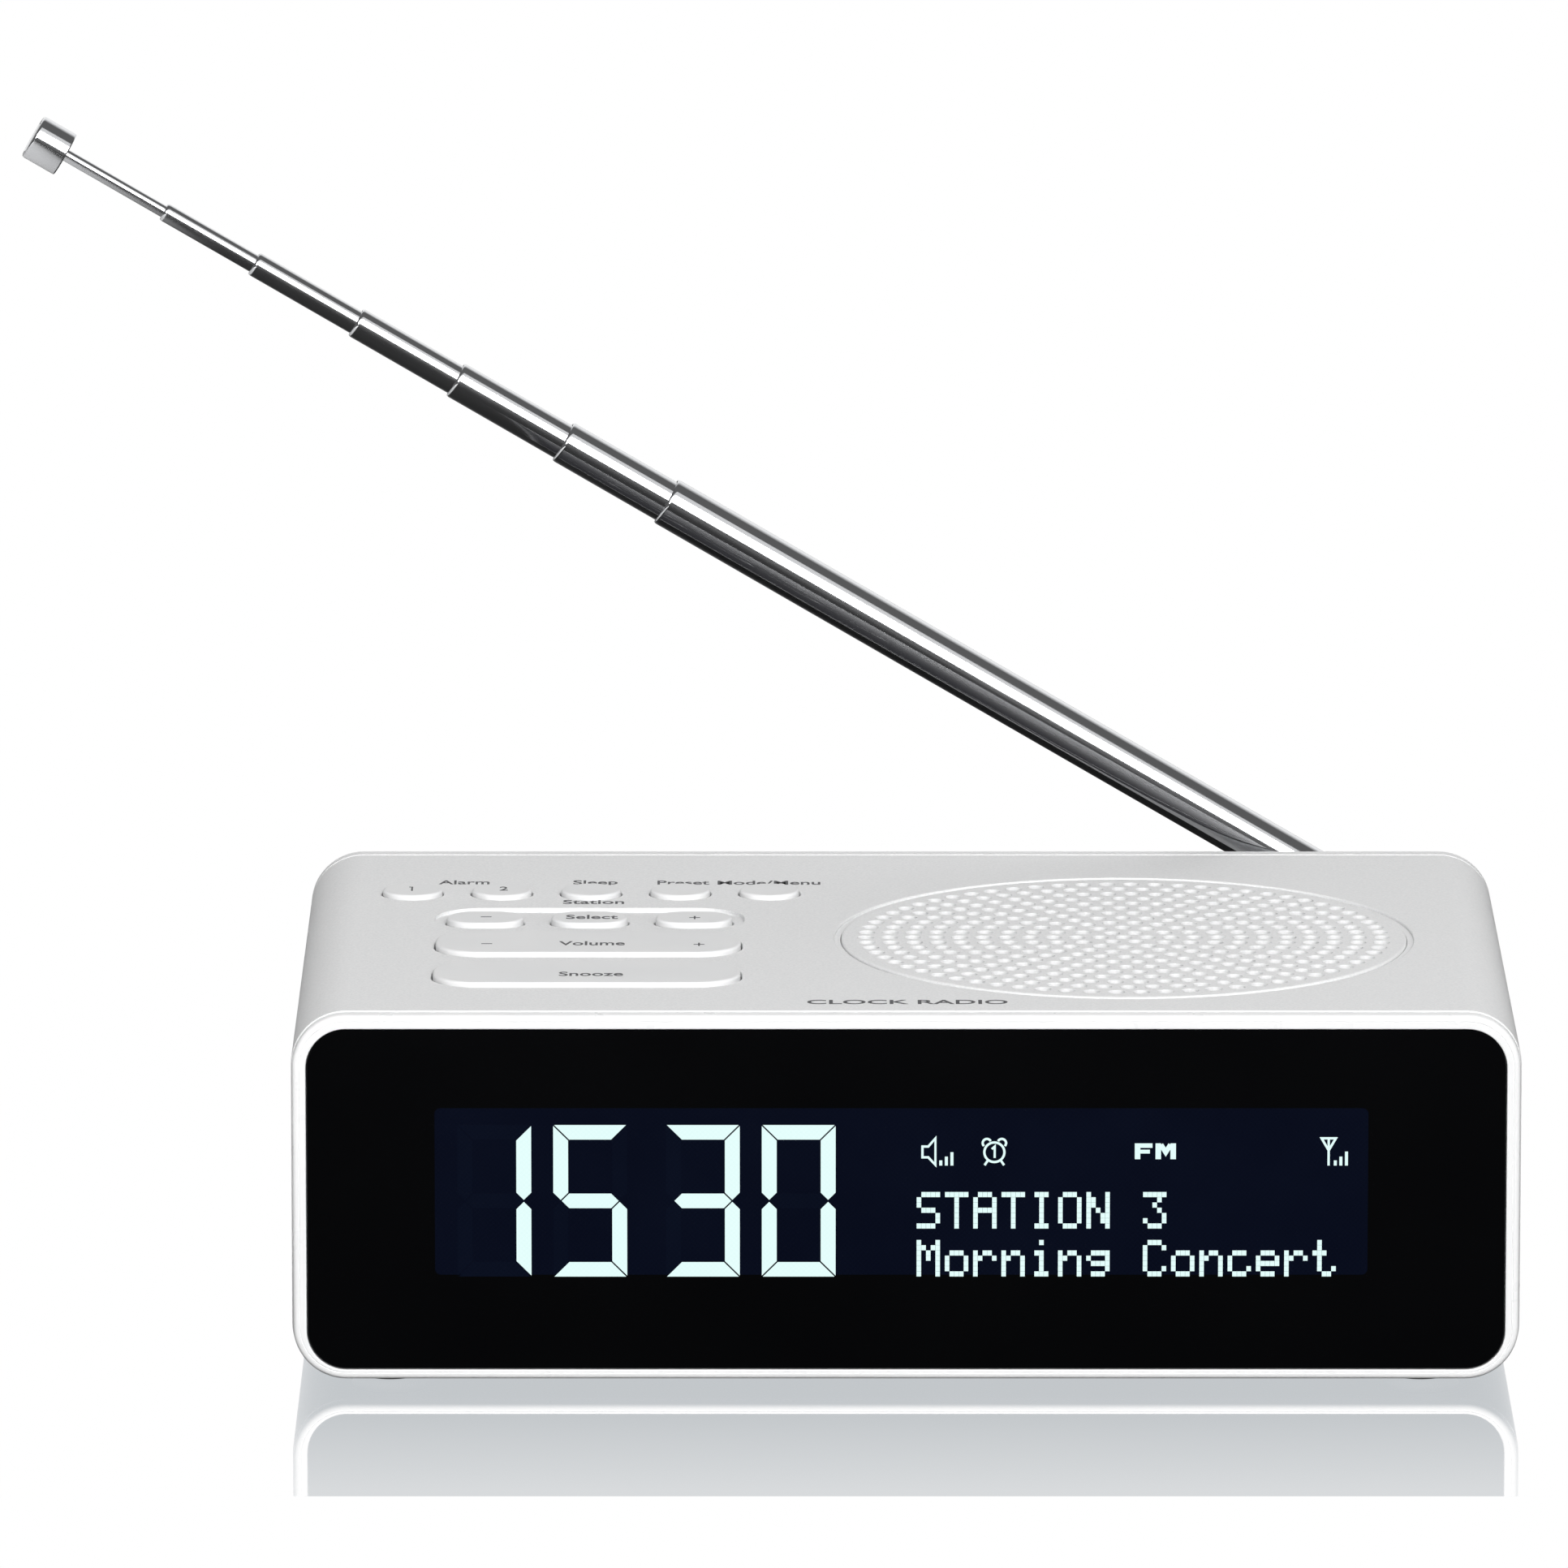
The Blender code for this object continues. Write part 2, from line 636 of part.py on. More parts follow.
def make_shell():
    shell = flat("cabinet_shell", [section(), section(WALL)], SHELL_FRONT, SHELL_REAR,
                 "white plastic", "Y")
    supports = []
    for x, z in rear_screw_places():
        low = SHELL_REAR - REAR_BOSS_LENGTH
        high = SHELL_REAR - COVER_SKIRT - FIT
        supports.append(rod("boss", REAR_BOSS, low, high, (x, 0, z), "Y"))
    for x, y in post_places():
        supports.append(rod("post", POST_RADIUS, WALL - OVERLAP, BOARD_Z - FIT, (x, y, 0)))
    for x, y in stake_places():
        shoulder = MAT_TOP + FIT
        tip = KEY_BOARD_BOTTOM - WALL / 2
        profile = [(0, INNER_TOP + OVERLAP), (STAKE_SHOULDER, INNER_TOP + OVERLAP),
                   (STAKE_SHOULDER, shoulder), (STAKE_RADIUS, shoulder), (STAKE_RADIUS, tip), (0, tip)]
        supports.append(turned("stake", profile, centre=(x, y, 0), steps=FINE_STEPS))
    join(shell, merged("supports", supports))

    centre = (SPEAKER_X, SPEAKER_Y, 0)
    join(shell, rod("speaker ring", RING_RADIUS, RING_BOTTOM, INNER_TOP + OVERLAP,
                    centre, steps=WIDE_STEPS))
    lug_y = PILL_DEPTH / 2 + KEY_FLANGE + FIT + LUG_THICK / 2
    lug_low = ROCKER_AXIS_Z - PIVOT_RADIUS - LUG_THICK
    lug_tall = INNER_TOP + OVERLAP - lug_low
    lugs = [box("lug", (LUG_WIDTH, LUG_THICK, lug_tall),
                (KEYS_X, VOLUME_Y + side * lug_y, lug_low + lug_tall / 2)) for side in (-1, 1)]
    join(shell, merged("rocker lugs", lugs))

    cut(shell, key_openings(), station_recess())
    cut(shell, rod("grille seat", GRILLE_OPENING, GRILLE_SEAT, HEIGHT + OVERLAP, centre,
                   steps=WIDE_STEPS))
    cut(shell, rod("sound hole", SOUND_HOLE, RING_BOTTOM - OVERLAP, HEIGHT, centre, steps=WIDE_STEPS))
    holes = [rod("hole", FOOT_RADIUS + FIT, -OVERLAP, FOOT_POCKET, (x, y, 0), steps=STEPS)
             for x, y in foot_places()]
    holes.append(rod("hole", PIVOT_RADIUS + FIT, VOLUME_Y - PILL_DEPTH, VOLUME_Y + PILL_DEPTH,
                     (KEYS_X, 0, ROCKER_AXIS_Z), "Y"))
    for x, y in post_places():
        low = BOARD_Z - SMALL_SCREW_LENGTH
        holes.append(rod("hole", SMALL_SCREW + FIT, low, BOARD_Z + OVERLAP, (x, y, 0)))
    for x, y in speaker_screw_places():
        high = RING_BOTTOM + SPEAKER_SCREW_LENGTH - SPEAKER_FLANGE
        holes.append(rod("hole", SMALL_SCREW + FIT, RING_BOTTOM - OVERLAP, high, (x, y, 0)))
    for x, z in rear_screw_places():
        low = REAR - REAR_SCREW_LENGTH - REAR_HEAD_THICK - FIT
        holes.append(rod("hole", REAR_SCREW + FIT, low, REAR, (x, 0, z), "Y"))
    cut(shell, merged("shell holes", holes))
    # The bosses graze the round inner corners, where the exact solver leaves slits
    for change in shell.modifiers:
        change.solver = "MANIFOLD"
    smooth(shell)


def make_feet():
    corners = ["front_left", "front_right", "rear_left", "rear_right"]
    for name, (x, y) in zip(corners, foot_places()):
        edge = 0.4 * MM
        top = FOOT_POCKET - FIT
        profile = [(0, top), (FOOT_RADIUS, top), (FOOT_RADIUS, edge - FOOT_PROUD),
                   (FOOT_RADIUS - edge, -FOOT_PROUD), (0, -FOOT_PROUD)]
        foot = turned("foot_" + name, profile, "rubber")
        foot.location = (x, y, 0)
        smooth(foot)


def make_rear_cover():
    cover = flat("rear_cover", [section()], COVER_INNER, REAR, "white plastic", "Y")
    skirt = flat("cover skirt", [section(WALL + FIT), section(WALL + FIT + SKIRT_WALL)],
                 COVER_INNER - COVER_SKIRT, COVER_INNER + OVERLAP, normal="Y")
    join(cover, skirt)
    holes = [rod("hole", SHAFT_RADIUS + FIT, COVER_INNER - WALL, REAR + OVERLAP,
                 (ANTENNA_X, 0, ANTENNA_Z), "Y")]
    for x, z, radius in ((DC_X, DC_Z, DC_HOLE), (PHONES_X, PHONES_Z, PHONES_HOLE)):
        holes.append(rod("hole", radius, COVER_INNER - WALL, REAR + OVERLAP, (x, 0, z), "Y",
                         steps=STEPS))
    for x, z in rear_screw_places():
        seat = REAR - REAR_HEAD_THICK - FIT
        profile = [(0, REAR + OVERLAP), (REAR_HEAD + FIT, REAR + OVERLAP), (REAR_HEAD + FIT, seat),
                   (REAR_SCREW + FIT, seat), (REAR_SCREW + FIT, COVER_INNER - OVERLAP),
                   (0, COVER_INNER - OVERLAP)]
        holes.append(turned("hole", profile, centre=(x, 0, z), axis="Y", steps=FINE_STEPS))
    cut(cover, merged("cover holes", holes))
    smooth(cover)


def make_screw(name, place, turn, length, radius, head, head_thick):
    """A cross-head screw. Its origin is under its head, and a turn about X sets where it points."""
    profile = [(0, head_thick), (head * 0.8, head_thick), (head, head_thick * 0.6), (head, 0),
               (radius, 0), (radius, -length), (0, -length)]
    screw = turned(name, profile, "tinned steel", steps=FINE_STEPS)
    slot = head * 0.3
    cross = box("driver cross", (head * 1.1, slot, slot * 2), (0, 0, head_thick))
    join(cross, box("driver slot", (slot, head * 1.1, slot * 2), (0, 0, head_thick)))
    cut(screw, cross)
    for thing in [screw] + [change.object for change in screw.modifiers]:
        thing.rotation_euler.x = math.radians(turn)
        thing.location = place
    smooth(screw)


def make_screws():
    for index, (x, z) in enumerate(rear_screw_places(), 1):
        place = (x, REAR - REAR_HEAD_THICK, z)
        make_screw(f"rear_screw_{index}", place, -90, REAR_SCREW_LENGTH, REAR_SCREW,
                   REAR_HEAD, REAR_HEAD_THICK)
    for index, (x, y) in enumerate(speaker_screw_places(), 1):
        make_screw(f"speaker_screw_{index}", (x, y, BASKET_TOP - FIT), 180, SPEAKER_SCREW_LENGTH,
                   SMALL_SCREW, SMALL_HEAD, SMALL_HEAD_THICK)
    for index, (x, y) in enumerate(post_places()[::3], 1):
        make_screw(f"board_screw_{index}", (x, y, BOARD_TOP + FIT), 0, SMALL_SCREW_LENGTH,
                   SMALL_SCREW, SMALL_HEAD, SMALL_HEAD_THICK)


# ---- Front --------------------------------------------------------------------------------------


def make_front_frame():
    lip_back = FRONT + FRAME_LIP
    frame = flat("front_frame", [section(FRAME_STEP)], FRONT, lip_back, "white frame", "Y")
    plug = flat("frame plug", [section(WALL + FIT)], lip_back - OVERLAP, lip_back + FRAME_SKIRT,
                normal="Y")
    soften(frame, FRAME_ROUND)
    join(frame, plug)
    pocket = flat("lens pocket", [section(FRAME_BORDER + FRAME_STEP)], FRONT - OVERLAP, PANEL_FRONT,
                  normal="Y")
    hollow = flat("frame hollow", [section(WALL + FIT + SKIRT_WALL)], PANEL_BACK,
                  lip_back + FRAME_SKIRT + OVERLAP, normal="Y")
    window = rounded_rect(WINDOW_WIDTH + 2 * WINDOW_MARGIN, WINDOW_HEIGHT + 2 * WINDOW_MARGIN,
                          1.2 * MM, (WINDOW_X, WINDOW_Z))
    opening = flat("display opening", [window], PANEL_FRONT - OVERLAP, PANEL_BACK + OVERLAP, normal="Y")
    cut(frame, pocket, hollow, opening)
    smooth(frame)


def make_lens():
    lens = flat("front_lens", [section(FRAME_BORDER + FRAME_STEP + FIT)], LENS_FRONT, LENS_BACK,
                "black lens", "Y")
    soften(lens, LENS_EDGE)
    smooth(lens)


def window_outline(grow, radius):
    return rounded_rect(GLASS_WIDTH + 2 * grow, GLASS_HEIGHT + 2 * grow, radius, (WINDOW_X, WINDOW_Z))


def make_display():
    flat("lcd_glass", [window_outline(0, 1.0 * MM)], GLASS_FRONT, GLASS_BACK, "display glass", "Y")
    flat("lcd_backlight", [window_outline(0, 1.0 * MM)], LIGHT_FRONT, LIGHT_BACK, "diffuser", "Y")
    flat("lcd_holder", [window_outline(FIT + HOLDER_WALL, 2.0 * MM), window_outline(FIT, 1.0 * MM)],
         GLASS_FRONT, LIGHT_BACK, "grey plastic", "Y")
    flat("display_board", [window_outline(DISPLAY_BOARD_EDGE, 1.5 * MM)], DISPLAY_FRONT,
         DISPLAY_FRONT + BOARD, "circuit board", "Y")


# ---- Controls -----------------------------------------------------------------------------------


def make_key(name, outline, flange, place, stems, flange_top=FLANGE_TOP, origin_z=HEIGHT):
    """A key cap with a flange under the top wall and stems that reach the key mat."""
    flange_bottom = flange_top - FLANGE_THICK
    key = flat(name, [outline], flange_bottom + FLANGE_THICK / 2, HEIGHT + KEY_PROUD,
               "white plastic")
    soften(key, KEY_EDGE, 1)
    join(key, flat("key flange", [flange], flange_bottom, flange_top))
    legs = [rod("stem", STEM_RADIUS, STEM_BOTTOM, flange_bottom + OVERLAP, (x, y, 0))
            for x, y in stems]
    join(key, merged("key stems", legs))
    set_origin(key, (*place, origin_z))
    smooth(key)
    return key


def make_keys():
    for name, place in zip(ROUND_NAMES, round_places()):
        make_key(name + "_button", circle(ROUND_RADIUS, place),
                 circle(ROUND_RADIUS + KEY_FLANGE, place), place, [place])
    for name, place in zip(OVAL_NAMES, oval_places()):
        make_key(name + "_button", oval(0, place), oval(KEY_FLANGE, place), place, [place])
    for name, row, flange_top, origin_z in (
            ("snooze_button", SNOOZE_Y, FLANGE_TOP, HEIGHT),
            ("volume_rocker", VOLUME_Y, ROCKER_FLANGE_TOP, ROCKER_AXIS_Z)):
        place = (KEYS_X, row)
        stems = [(KEYS_X + side * PILL_STEM_X, row) for side in (-1, 1)]
        key = make_key(name, pill(0, place), pill(KEY_FLANGE, place), place, stems, flange_top, origin_z)
    reach = PILL_DEPTH / 2 + PIVOT_REACH
    join(key, rod("rocker pivot", PIVOT_RADIUS, VOLUME_Y - reach, VOLUME_Y + reach,
                  (KEYS_X, 0, ROCKER_AXIS_Z), "Y"))


def stake_holes():
    low, high = KEY_BOARD_BOTTOM - OVERLAP, MAT_TOP + OVERLAP
    holes = [rod("hole", STAKE_RADIUS + FIT, low, high, (x, y, 0))
             for x, y in stake_places()]
    return merged("stake holes", holes)


def make_key_mat():
    centre = (KEYS_X, KEY_BOARD_Y)
    outline = rounded_rect(KEY_BOARD_WIDTH, KEY_BOARD_LENGTH, 2 * MM, centre)
    mat = flat("key_mat", [outline], MAT_BOTTOM, MAT_TOP, "silicone")
    board = flat("key_board", [outline], KEY_BOARD_BOTTOM, KEY_BOARD_TOP, "circuit board")
    for sheet in (mat, board):
        cut(sheet, stake_holes())
    domes = [rod("dome", DOME_RADIUS, MAT_TOP - MAT_THICK / 2, MAT_TOP + DOME_HEIGHT, (x, y, 0))
             for x, y in stem_places()]
    join(mat, merged("key domes", domes))
    wells = [rod("well", STEM_RADIUS + WELL_GAP, WELL_FLOOR, MAT_TOP + DOME_HEIGHT + OVERLAP,
                 (x, y, 0)) for x, y in stem_places()]
    cut(mat, merged("key wells", wells))
    smooth(mat)


# ---- Speaker ------------------------------------------------------------------------------------


def make_grille():
    grille = rod("speaker_grille", GRILLE_RADIUS, GRILLE_SEAT + FIT, HEIGHT,
                 (SPEAKER_X, SPEAKER_Y, 0), finish="white plastic", steps=WIDE_STEPS)
    smooth(grille)


def make_speaker():
    centre = (SPEAKER_X, SPEAKER_Y)
    place = (*centre, 0)
    outline = rounded_rect(SPEAKER_SIDE, SPEAKER_SIDE, SPEAKER_CORNER, centre, 8)
    frame = flat("speaker_frame", [outline], BASKET_TOP, FLANGE_FACE, "tinned steel")
    inner = CONE_RADIUS + FIT
    outer = inner + BASKET_WALL
    neck = BASKET_FLOOR_RADIUS
    lip = BASKET_TOP + SPEAKER_FLANGE / 2
    low = BASKET_TOP - BASKET_SHOULDER
    floor_top = BASKET_FLOOR + BASKET_WALL
    profile = [(inner, lip), (outer, lip), (outer, low), (neck, BASKET_FLOOR + 2 * BASKET_WALL),
               (neck, BASKET_FLOOR), (COIL_RADIUS + FIT, BASKET_FLOOR), (COIL_RADIUS + FIT, floor_top),
               (neck - BASKET_WALL, floor_top), (neck - BASKET_WALL, floor_top + BASKET_WALL),
               (inner, low + BASKET_WALL / 2)]
    join(frame, turned("basket", profile, centre=place, closed=True))
    cut(frame, rod("speaker mouth", CONE_RADIUS - WALL / 2, BASKET_TOP - OVERLAP, FLANGE_FACE + OVERLAP,
                   place))
    holes = [rod("hole", SMALL_SCREW + FIT, BASKET_TOP - OVERLAP, FLANGE_FACE + OVERLAP, (x, y, 0))
             for x, y in speaker_screw_places()]
    cut(frame, merged("speaker screw holes", holes))
    windows = []
    for turn in (0, 90):
        window = box("window", (4 * CONE_RADIUS, BASKET_WINDOW, BASKET_HEIGHT * 0.5), (0, 0, 0))
        spin = Matrix.Rotation(math.radians(turn), 4, "Z")
        middle = Vector((*centre, BASKET_FLOOR + BASKET_HEIGHT * 0.48))
        window.data.transform(Matrix.Translation(middle) @ spin)
        windows.append(window)
    for window in windows:
        cut(frame, window)
    smooth(frame)

    skin = CONE_SKIN
    rim_z = BASKET_TOP - FIT
    waist = BASKET_FLOOR + BASKET_HEIGHT * 0.4
    coil_low = BASKET_FLOOR + BASKET_WALL + FIT
    dip = rim_z - SURROUND_DIP
    dome = waist + DUST_CAP_RISE
    profile = [(0, dome), (COIL_RADIUS * 0.6, dome - DUST_CAP_RISE / 3), (COIL_RADIUS, waist),
               (CONE_RADIUS * 0.83, dip), (CONE_RADIUS * 0.9, rim_z),
               (CONE_RADIUS, rim_z - skin), (CONE_RADIUS, rim_z - 2 * skin),
               (CONE_RADIUS * 0.9, rim_z - skin), (CONE_RADIUS * 0.83, dip - skin),
               (COIL_RADIUS, waist - skin), (COIL_RADIUS, coil_low), (COIL_RADIUS - skin, coil_low),
               (COIL_RADIUS - skin, waist - skin), (0, dome - skin)]
    smooth(turned("speaker_cone", profile, "paper cone", place))

    edge = MAGNET_EDGE
    low = MAGNET_TOP - MAGNET_HEIGHT
    plate = low + POLE_PLATE
    profile = [(0, MAGNET_TOP), (MAGNET_RADIUS - edge, MAGNET_TOP), (MAGNET_RADIUS, MAGNET_TOP - edge),
               (MAGNET_RADIUS, plate), (MAGNET_RADIUS - 2 * edge, plate),
               (MAGNET_RADIUS - 2 * edge, low), (0, low)]
    smooth(turned("speaker_magnet", profile, "ferrite", place))


# ---- Inside -------------------------------------------------------------------------------------


def make_socket(name, size, x, z, bore, depth):
    middle = (x, SOCKET_FACE - size[1] / 2, z)
    socket = box(name, size, middle, "black plastic")
    cut(socket, rod(name + " bore", bore, SOCKET_FACE - depth, SOCKET_FACE + OVERLAP, (x, 0, z), "Y",
                    steps=STEPS))
    return socket


def make_main_board():
    outline = rounded_rect(BOARD_WIDTH, BOARD_LENGTH, 2 * MM, (0, BOARD_Y))
    board = flat("main_board", [outline], BOARD_Z, BOARD_TOP, "circuit board")
    holes = [rod("hole", SMALL_SCREW + FIT, BOARD_Z - OVERLAP, BOARD_TOP + OVERLAP, (x, y, 0))
             for x, y in post_places()]
    cut(board, merged("board holes", holes))
    for name, size, place, finish in (("tuner_can", CAN_SIZE, CAN_PLACE, "tinned steel"),
                                      ("amplifier_chip", CHIP_SIZE, CHIP_PLACE, "black plastic")):
        item = box(name, size, (*place, ON_BOARD + size[2] / 2), finish)
        soften(item, 0.4 * MM)
    edge = 0.6 * MM
    top = ON_BOARD + CAPACITOR_HEIGHT
    profile = [(0, top), (CAPACITOR_RADIUS - edge, top), (CAPACITOR_RADIUS, top - edge),
               (CAPACITOR_RADIUS, ON_BOARD), (0, ON_BOARD)]
    smooth(turned("capacitor", profile, "black plastic", (*CAPACITOR_PLACE, 0)))

    jack = make_socket("dc_jack", DC_SIZE, DC_X, DC_Z, DC_BORE, DC_BORE_DEPTH)
    pin = rod("dc pin", DC_PIN, SOCKET_FACE - DC_BORE_DEPTH - OVERLAP, SOCKET_FACE - DC_PIN_SET_BACK,
              (DC_X, 0, DC_Z), "Y")
    join(jack, pin)
    make_socket("headphone_jack", PHONES_SIZE, PHONES_X, PHONES_Z, PHONES_BORE, PHONES_BORE_DEPTH)


def make_cables():
    lift = RIBBON_THICK / 2
    start_y = DISPLAY_FRONT + BOARD + FIT + lift
    low = ON_BOARD + lift
    path = [(start_y, WINDOW_Z)]
    path += arc((start_y + RIBBON_BEND, low + RIBBON_BEND), RIBBON_BEND, 180, 270)
    path.append((start_y + RIBBON_REST, low))
    strip("display_ribbon", path, DISPLAY_RIBBON_WIDTH, RIBBON_THICK, DISPLAY_RIBBON_X, "ribbon")

    high = KEY_BOARD_BOTTOM - FIT - lift
    edge_y = KEY_BOARD_Y + KEY_BOARD_LENGTH / 2 - KEY_RIBBON_INSET
    path = [(edge_y - RIBBON_REST, high)]
    path += arc((edge_y, high - RIBBON_BEND), RIBBON_BEND, 90, 0)
    path += arc((edge_y, low + RIBBON_BEND), RIBBON_BEND, 0, -90)
    path.append((edge_y - RIBBON_REST, low))
    strip("key_ribbon", path, KEY_RIBBON_WIDTH, RIBBON_THICK, KEY_RIBBON_X, "ribbon")


def make_speaker_lead():
    x = SPEAKER_X + CONE_RADIUS + LEAD_CLEAR
    start = Vector((x + LEAD_START[0], SPEAKER_Y + LEAD_START[1], BASKET_TOP - LEAD_RADIUS - FIT))
    end = Vector((x, SPEAKER_Y + LEAD_END_Y, ON_BOARD + LEAD_RADIUS))
    first = start + Vector(LEAD_PULL)
    second = end + Vector((0, 0, LEAD_RISE))
    curve = bpy.data.curves.new("speaker_lead", "CURVE")
    curve.dimensions = "3D"
    curve.bevel_depth = LEAD_RADIUS
    curve.bevel_resolution = 2
    curve.use_fill_caps = True
    spline = curve.splines.new("POLY")
    spline.points.add(LEAD_POINTS)
    for index, point in enumerate(spline.points):
        t = index / LEAD_POINTS
        place = ((1 - t) ** 3 * start + 3 * (1 - t) ** 2 * t * first
                 + 3 * (1 - t) * t ** 2 * second + t ** 3 * end)
        point.co = (*place, 1)
    guide = bpy.data.objects.new("speaker_lead", curve)
    parts.objects.link(guide)
    add_object("speaker_lead", mesh_from(guide, "speaker_lead"), "red wire")


# ---- Antenna ------------------------------------------------------------------------------------


def antenna_frame():
    """An empty at the elbow, whose Z runs along the antenna and whose Y is the radio's Y."""
    empty = bpy.data.objects.new("antenna_axis", None)
    parts.objects.link(empty)
    empty.location = (ANTENNA_X, ANTENNA_Y, ANTENNA_Z)
    empty.rotation_euler = (0, math.radians(ANTENNA_RISE - 90), 0)
    bpy.context.view_layer.update()
    return empty


def hang(thing, empty):
    """Put an object, made with the elbow at its origin, on the antenna's empty."""
    thing.parent = empty
    for change in thing.modifiers:
        if change.type == "BOOLEAN":
            change.object.parent = empty


def make_swivel(empty):
    front, back = DISC_FRONT - ANTENNA_Y, DISC_FRONT + SWIVEL_DISC - ANTENNA_Y
    shaft_end = front - SHAFT_LENGTH
    profile = [(0, back), (SWIVEL_RADIUS - 0.5 * MM, back), (SWIVEL_RADIUS, back - 0.5 * MM),
               (SWIVEL_RADIUS, front), (SHAFT_RADIUS, front), (SHAFT_RADIUS, shaft_end), (0, shaft_end)]
    swivel = turned("antenna_swivel", profile, "chrome", axis="Y")
    sweep = [(back - SWIVEL_DISC / 2, -EAR_RADIUS)] + arc((0, 0), EAR_RADIUS, -90, 90, 12)
    sweep.append((back - SWIVEL_DISC / 2, EAR_RADIUS))
    for side in (-1, 1):
        low, high = sorted((side * EAR_INNER, side * EAR_OUTER))
        join(swivel, flat("ear", [sweep], low, high, normal="X"))
    cut(swivel, rod("ear hole", PIN_RADIUS + FIT, -2 * EAR_OUTER, 2 * EAR_OUTER, axis="X"))
    smooth(swivel)
    hang(swivel, empty)

    hexagon = circle(NUT_RADIUS, (0, 0), 6)
    nut_back = COVER_INNER - FIT - ANTENNA_Y
    nut = flat("antenna_nut", [hexagon, circle(SHAFT_RADIUS + FIT)], nut_back - NUT_THICK,
               nut_back, "tinned steel", "Y")
    hang(nut, empty)

    head = EAR_OUTER + FIT + PIN_HEAD_THICK
    profile = [(0, head), (PIN_HEAD, head), (PIN_HEAD, EAR_OUTER + FIT), (PIN_RADIUS, EAR_OUTER + FIT),
               (PIN_RADIUS, -EAR_OUTER - FIT), (PIN_HEAD, -EAR_OUTER - FIT), (PIN_HEAD, -head), (0, -head)]
    pin = turned("antenna_elbow_pin", profile, "chrome", axis="X")
    smooth(pin)
    hang(pin, empty)


def tube_profile(radius, low, high):
    """A tube with a rolled mouth at its top and an open foot."""
    inner = radius - TUBE_WALL
    roll = TUBE_WALL * 0.45
    mouth = [(inner, high - roll), (inner + roll, high), (radius - roll, high), (radius, high - roll)]
    return mouth + [(radius, low), (inner, low)]


def make_tubes(empty):
    end = FIRST_TUBE_END
    floor = TONGUE_LENGTH + 2 * MM
    radius = TUBE_RADII[0]
    inner = radius - TUBE_WALL
    roll = TUBE_WALL * 0.45
    profile = [(0, floor), (inner, floor), (inner, end - roll), (inner + roll, end), (radius - roll, end),
               (radius, end - roll), (radius, TONGUE_LENGTH), (0, TONGUE_LENGTH)]
    tube = turned("antenna_tube_1", profile, "chrome")
    tongue = [(-EAR_RADIUS, TONGUE_LENGTH + 1 * MM)] + arc((0, 0), EAR_RADIUS, 180, 360, 12)
    tongue.append((EAR_RADIUS, TONGUE_LENGTH + 1 * MM))
    join(tube, flat("tongue", [tongue], -TONGUE_THICK / 2, TONGUE_THICK / 2, normal="X"))
    cut(tube, rod("tongue hole", PIN_RADIUS + FIT, -TONGUE_THICK, TONGUE_THICK, axis="X"))
    smooth(tube)
    hang(tube, empty)
    for index, (radius, drawn) in enumerate(zip(TUBE_RADII[1:], DRAWN), 2):
        end += drawn
        tube = turned(f"antenna_tube_{index}", tube_profile(radius, end - TUBE_LENGTH, end),
                      "chrome", closed=True)
        smooth(tube)
        hang(tube, empty)

    end += DRAWN[-1]
    low = end - TUBE_LENGTH
    profile = [(0, end), (ROD_RADIUS, end), (ROD_RADIUS, low), (0, low)]
    wire = turned("antenna_rod", profile, "chrome")
    smooth(wire)
    hang(wire, empty)
    edge = 0.8 * MM
    low = end + FIT
    high = low + CAP_LENGTH
    profile = [(0, high), (CAP_RADIUS - edge, high), (CAP_RADIUS - 0.25 * edge, high - 0.25 * edge),
               (CAP_RADIUS, high - edge), (CAP_RADIUS, low + edge / 2), (CAP_RADIUS - edge / 2, low),
               (0, low)]
    cap = turned("antenna_cap", profile, "chrome")
    smooth(cap)
    hang(cap, empty)


# ---- The radio ----------------------------------------------------------------------------------


def build():
    global parts, cutters
    clear_scene()
    parts = new_collection("tabletop radio")
    cutters = new_collection("cutters")
    make_materials()
    make_shell()
    make_feet()
    make_rear_cover()
    make_front_frame()
    make_lens()
    make_display()
    make_keys()
    make_key_mat()
    make_grille()
    make_speaker()
    make_main_board()
    make_cables()
    make_speaker_lead()
    make_screws()
    empty = antenna_frame()
    make_swivel(empty)
    make_tubes(empty)


build()
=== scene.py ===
# %% [markdown]
# # A white tabletop radio with a telescopic antenna
# This lesson dresses a measured model of the radio in its real shapes and finishes. The measured
# model comes in as a fixed frame: one object for each physical piece, in metres, with X to the
# right, Y to the back and Z up. Every position below is read from that frame, so the finished
# pieces land exactly where the radio's own parts are.

# %% Load the measured model
import json
import math

import bmesh
import bpy
from mathutils import Matrix, Vector


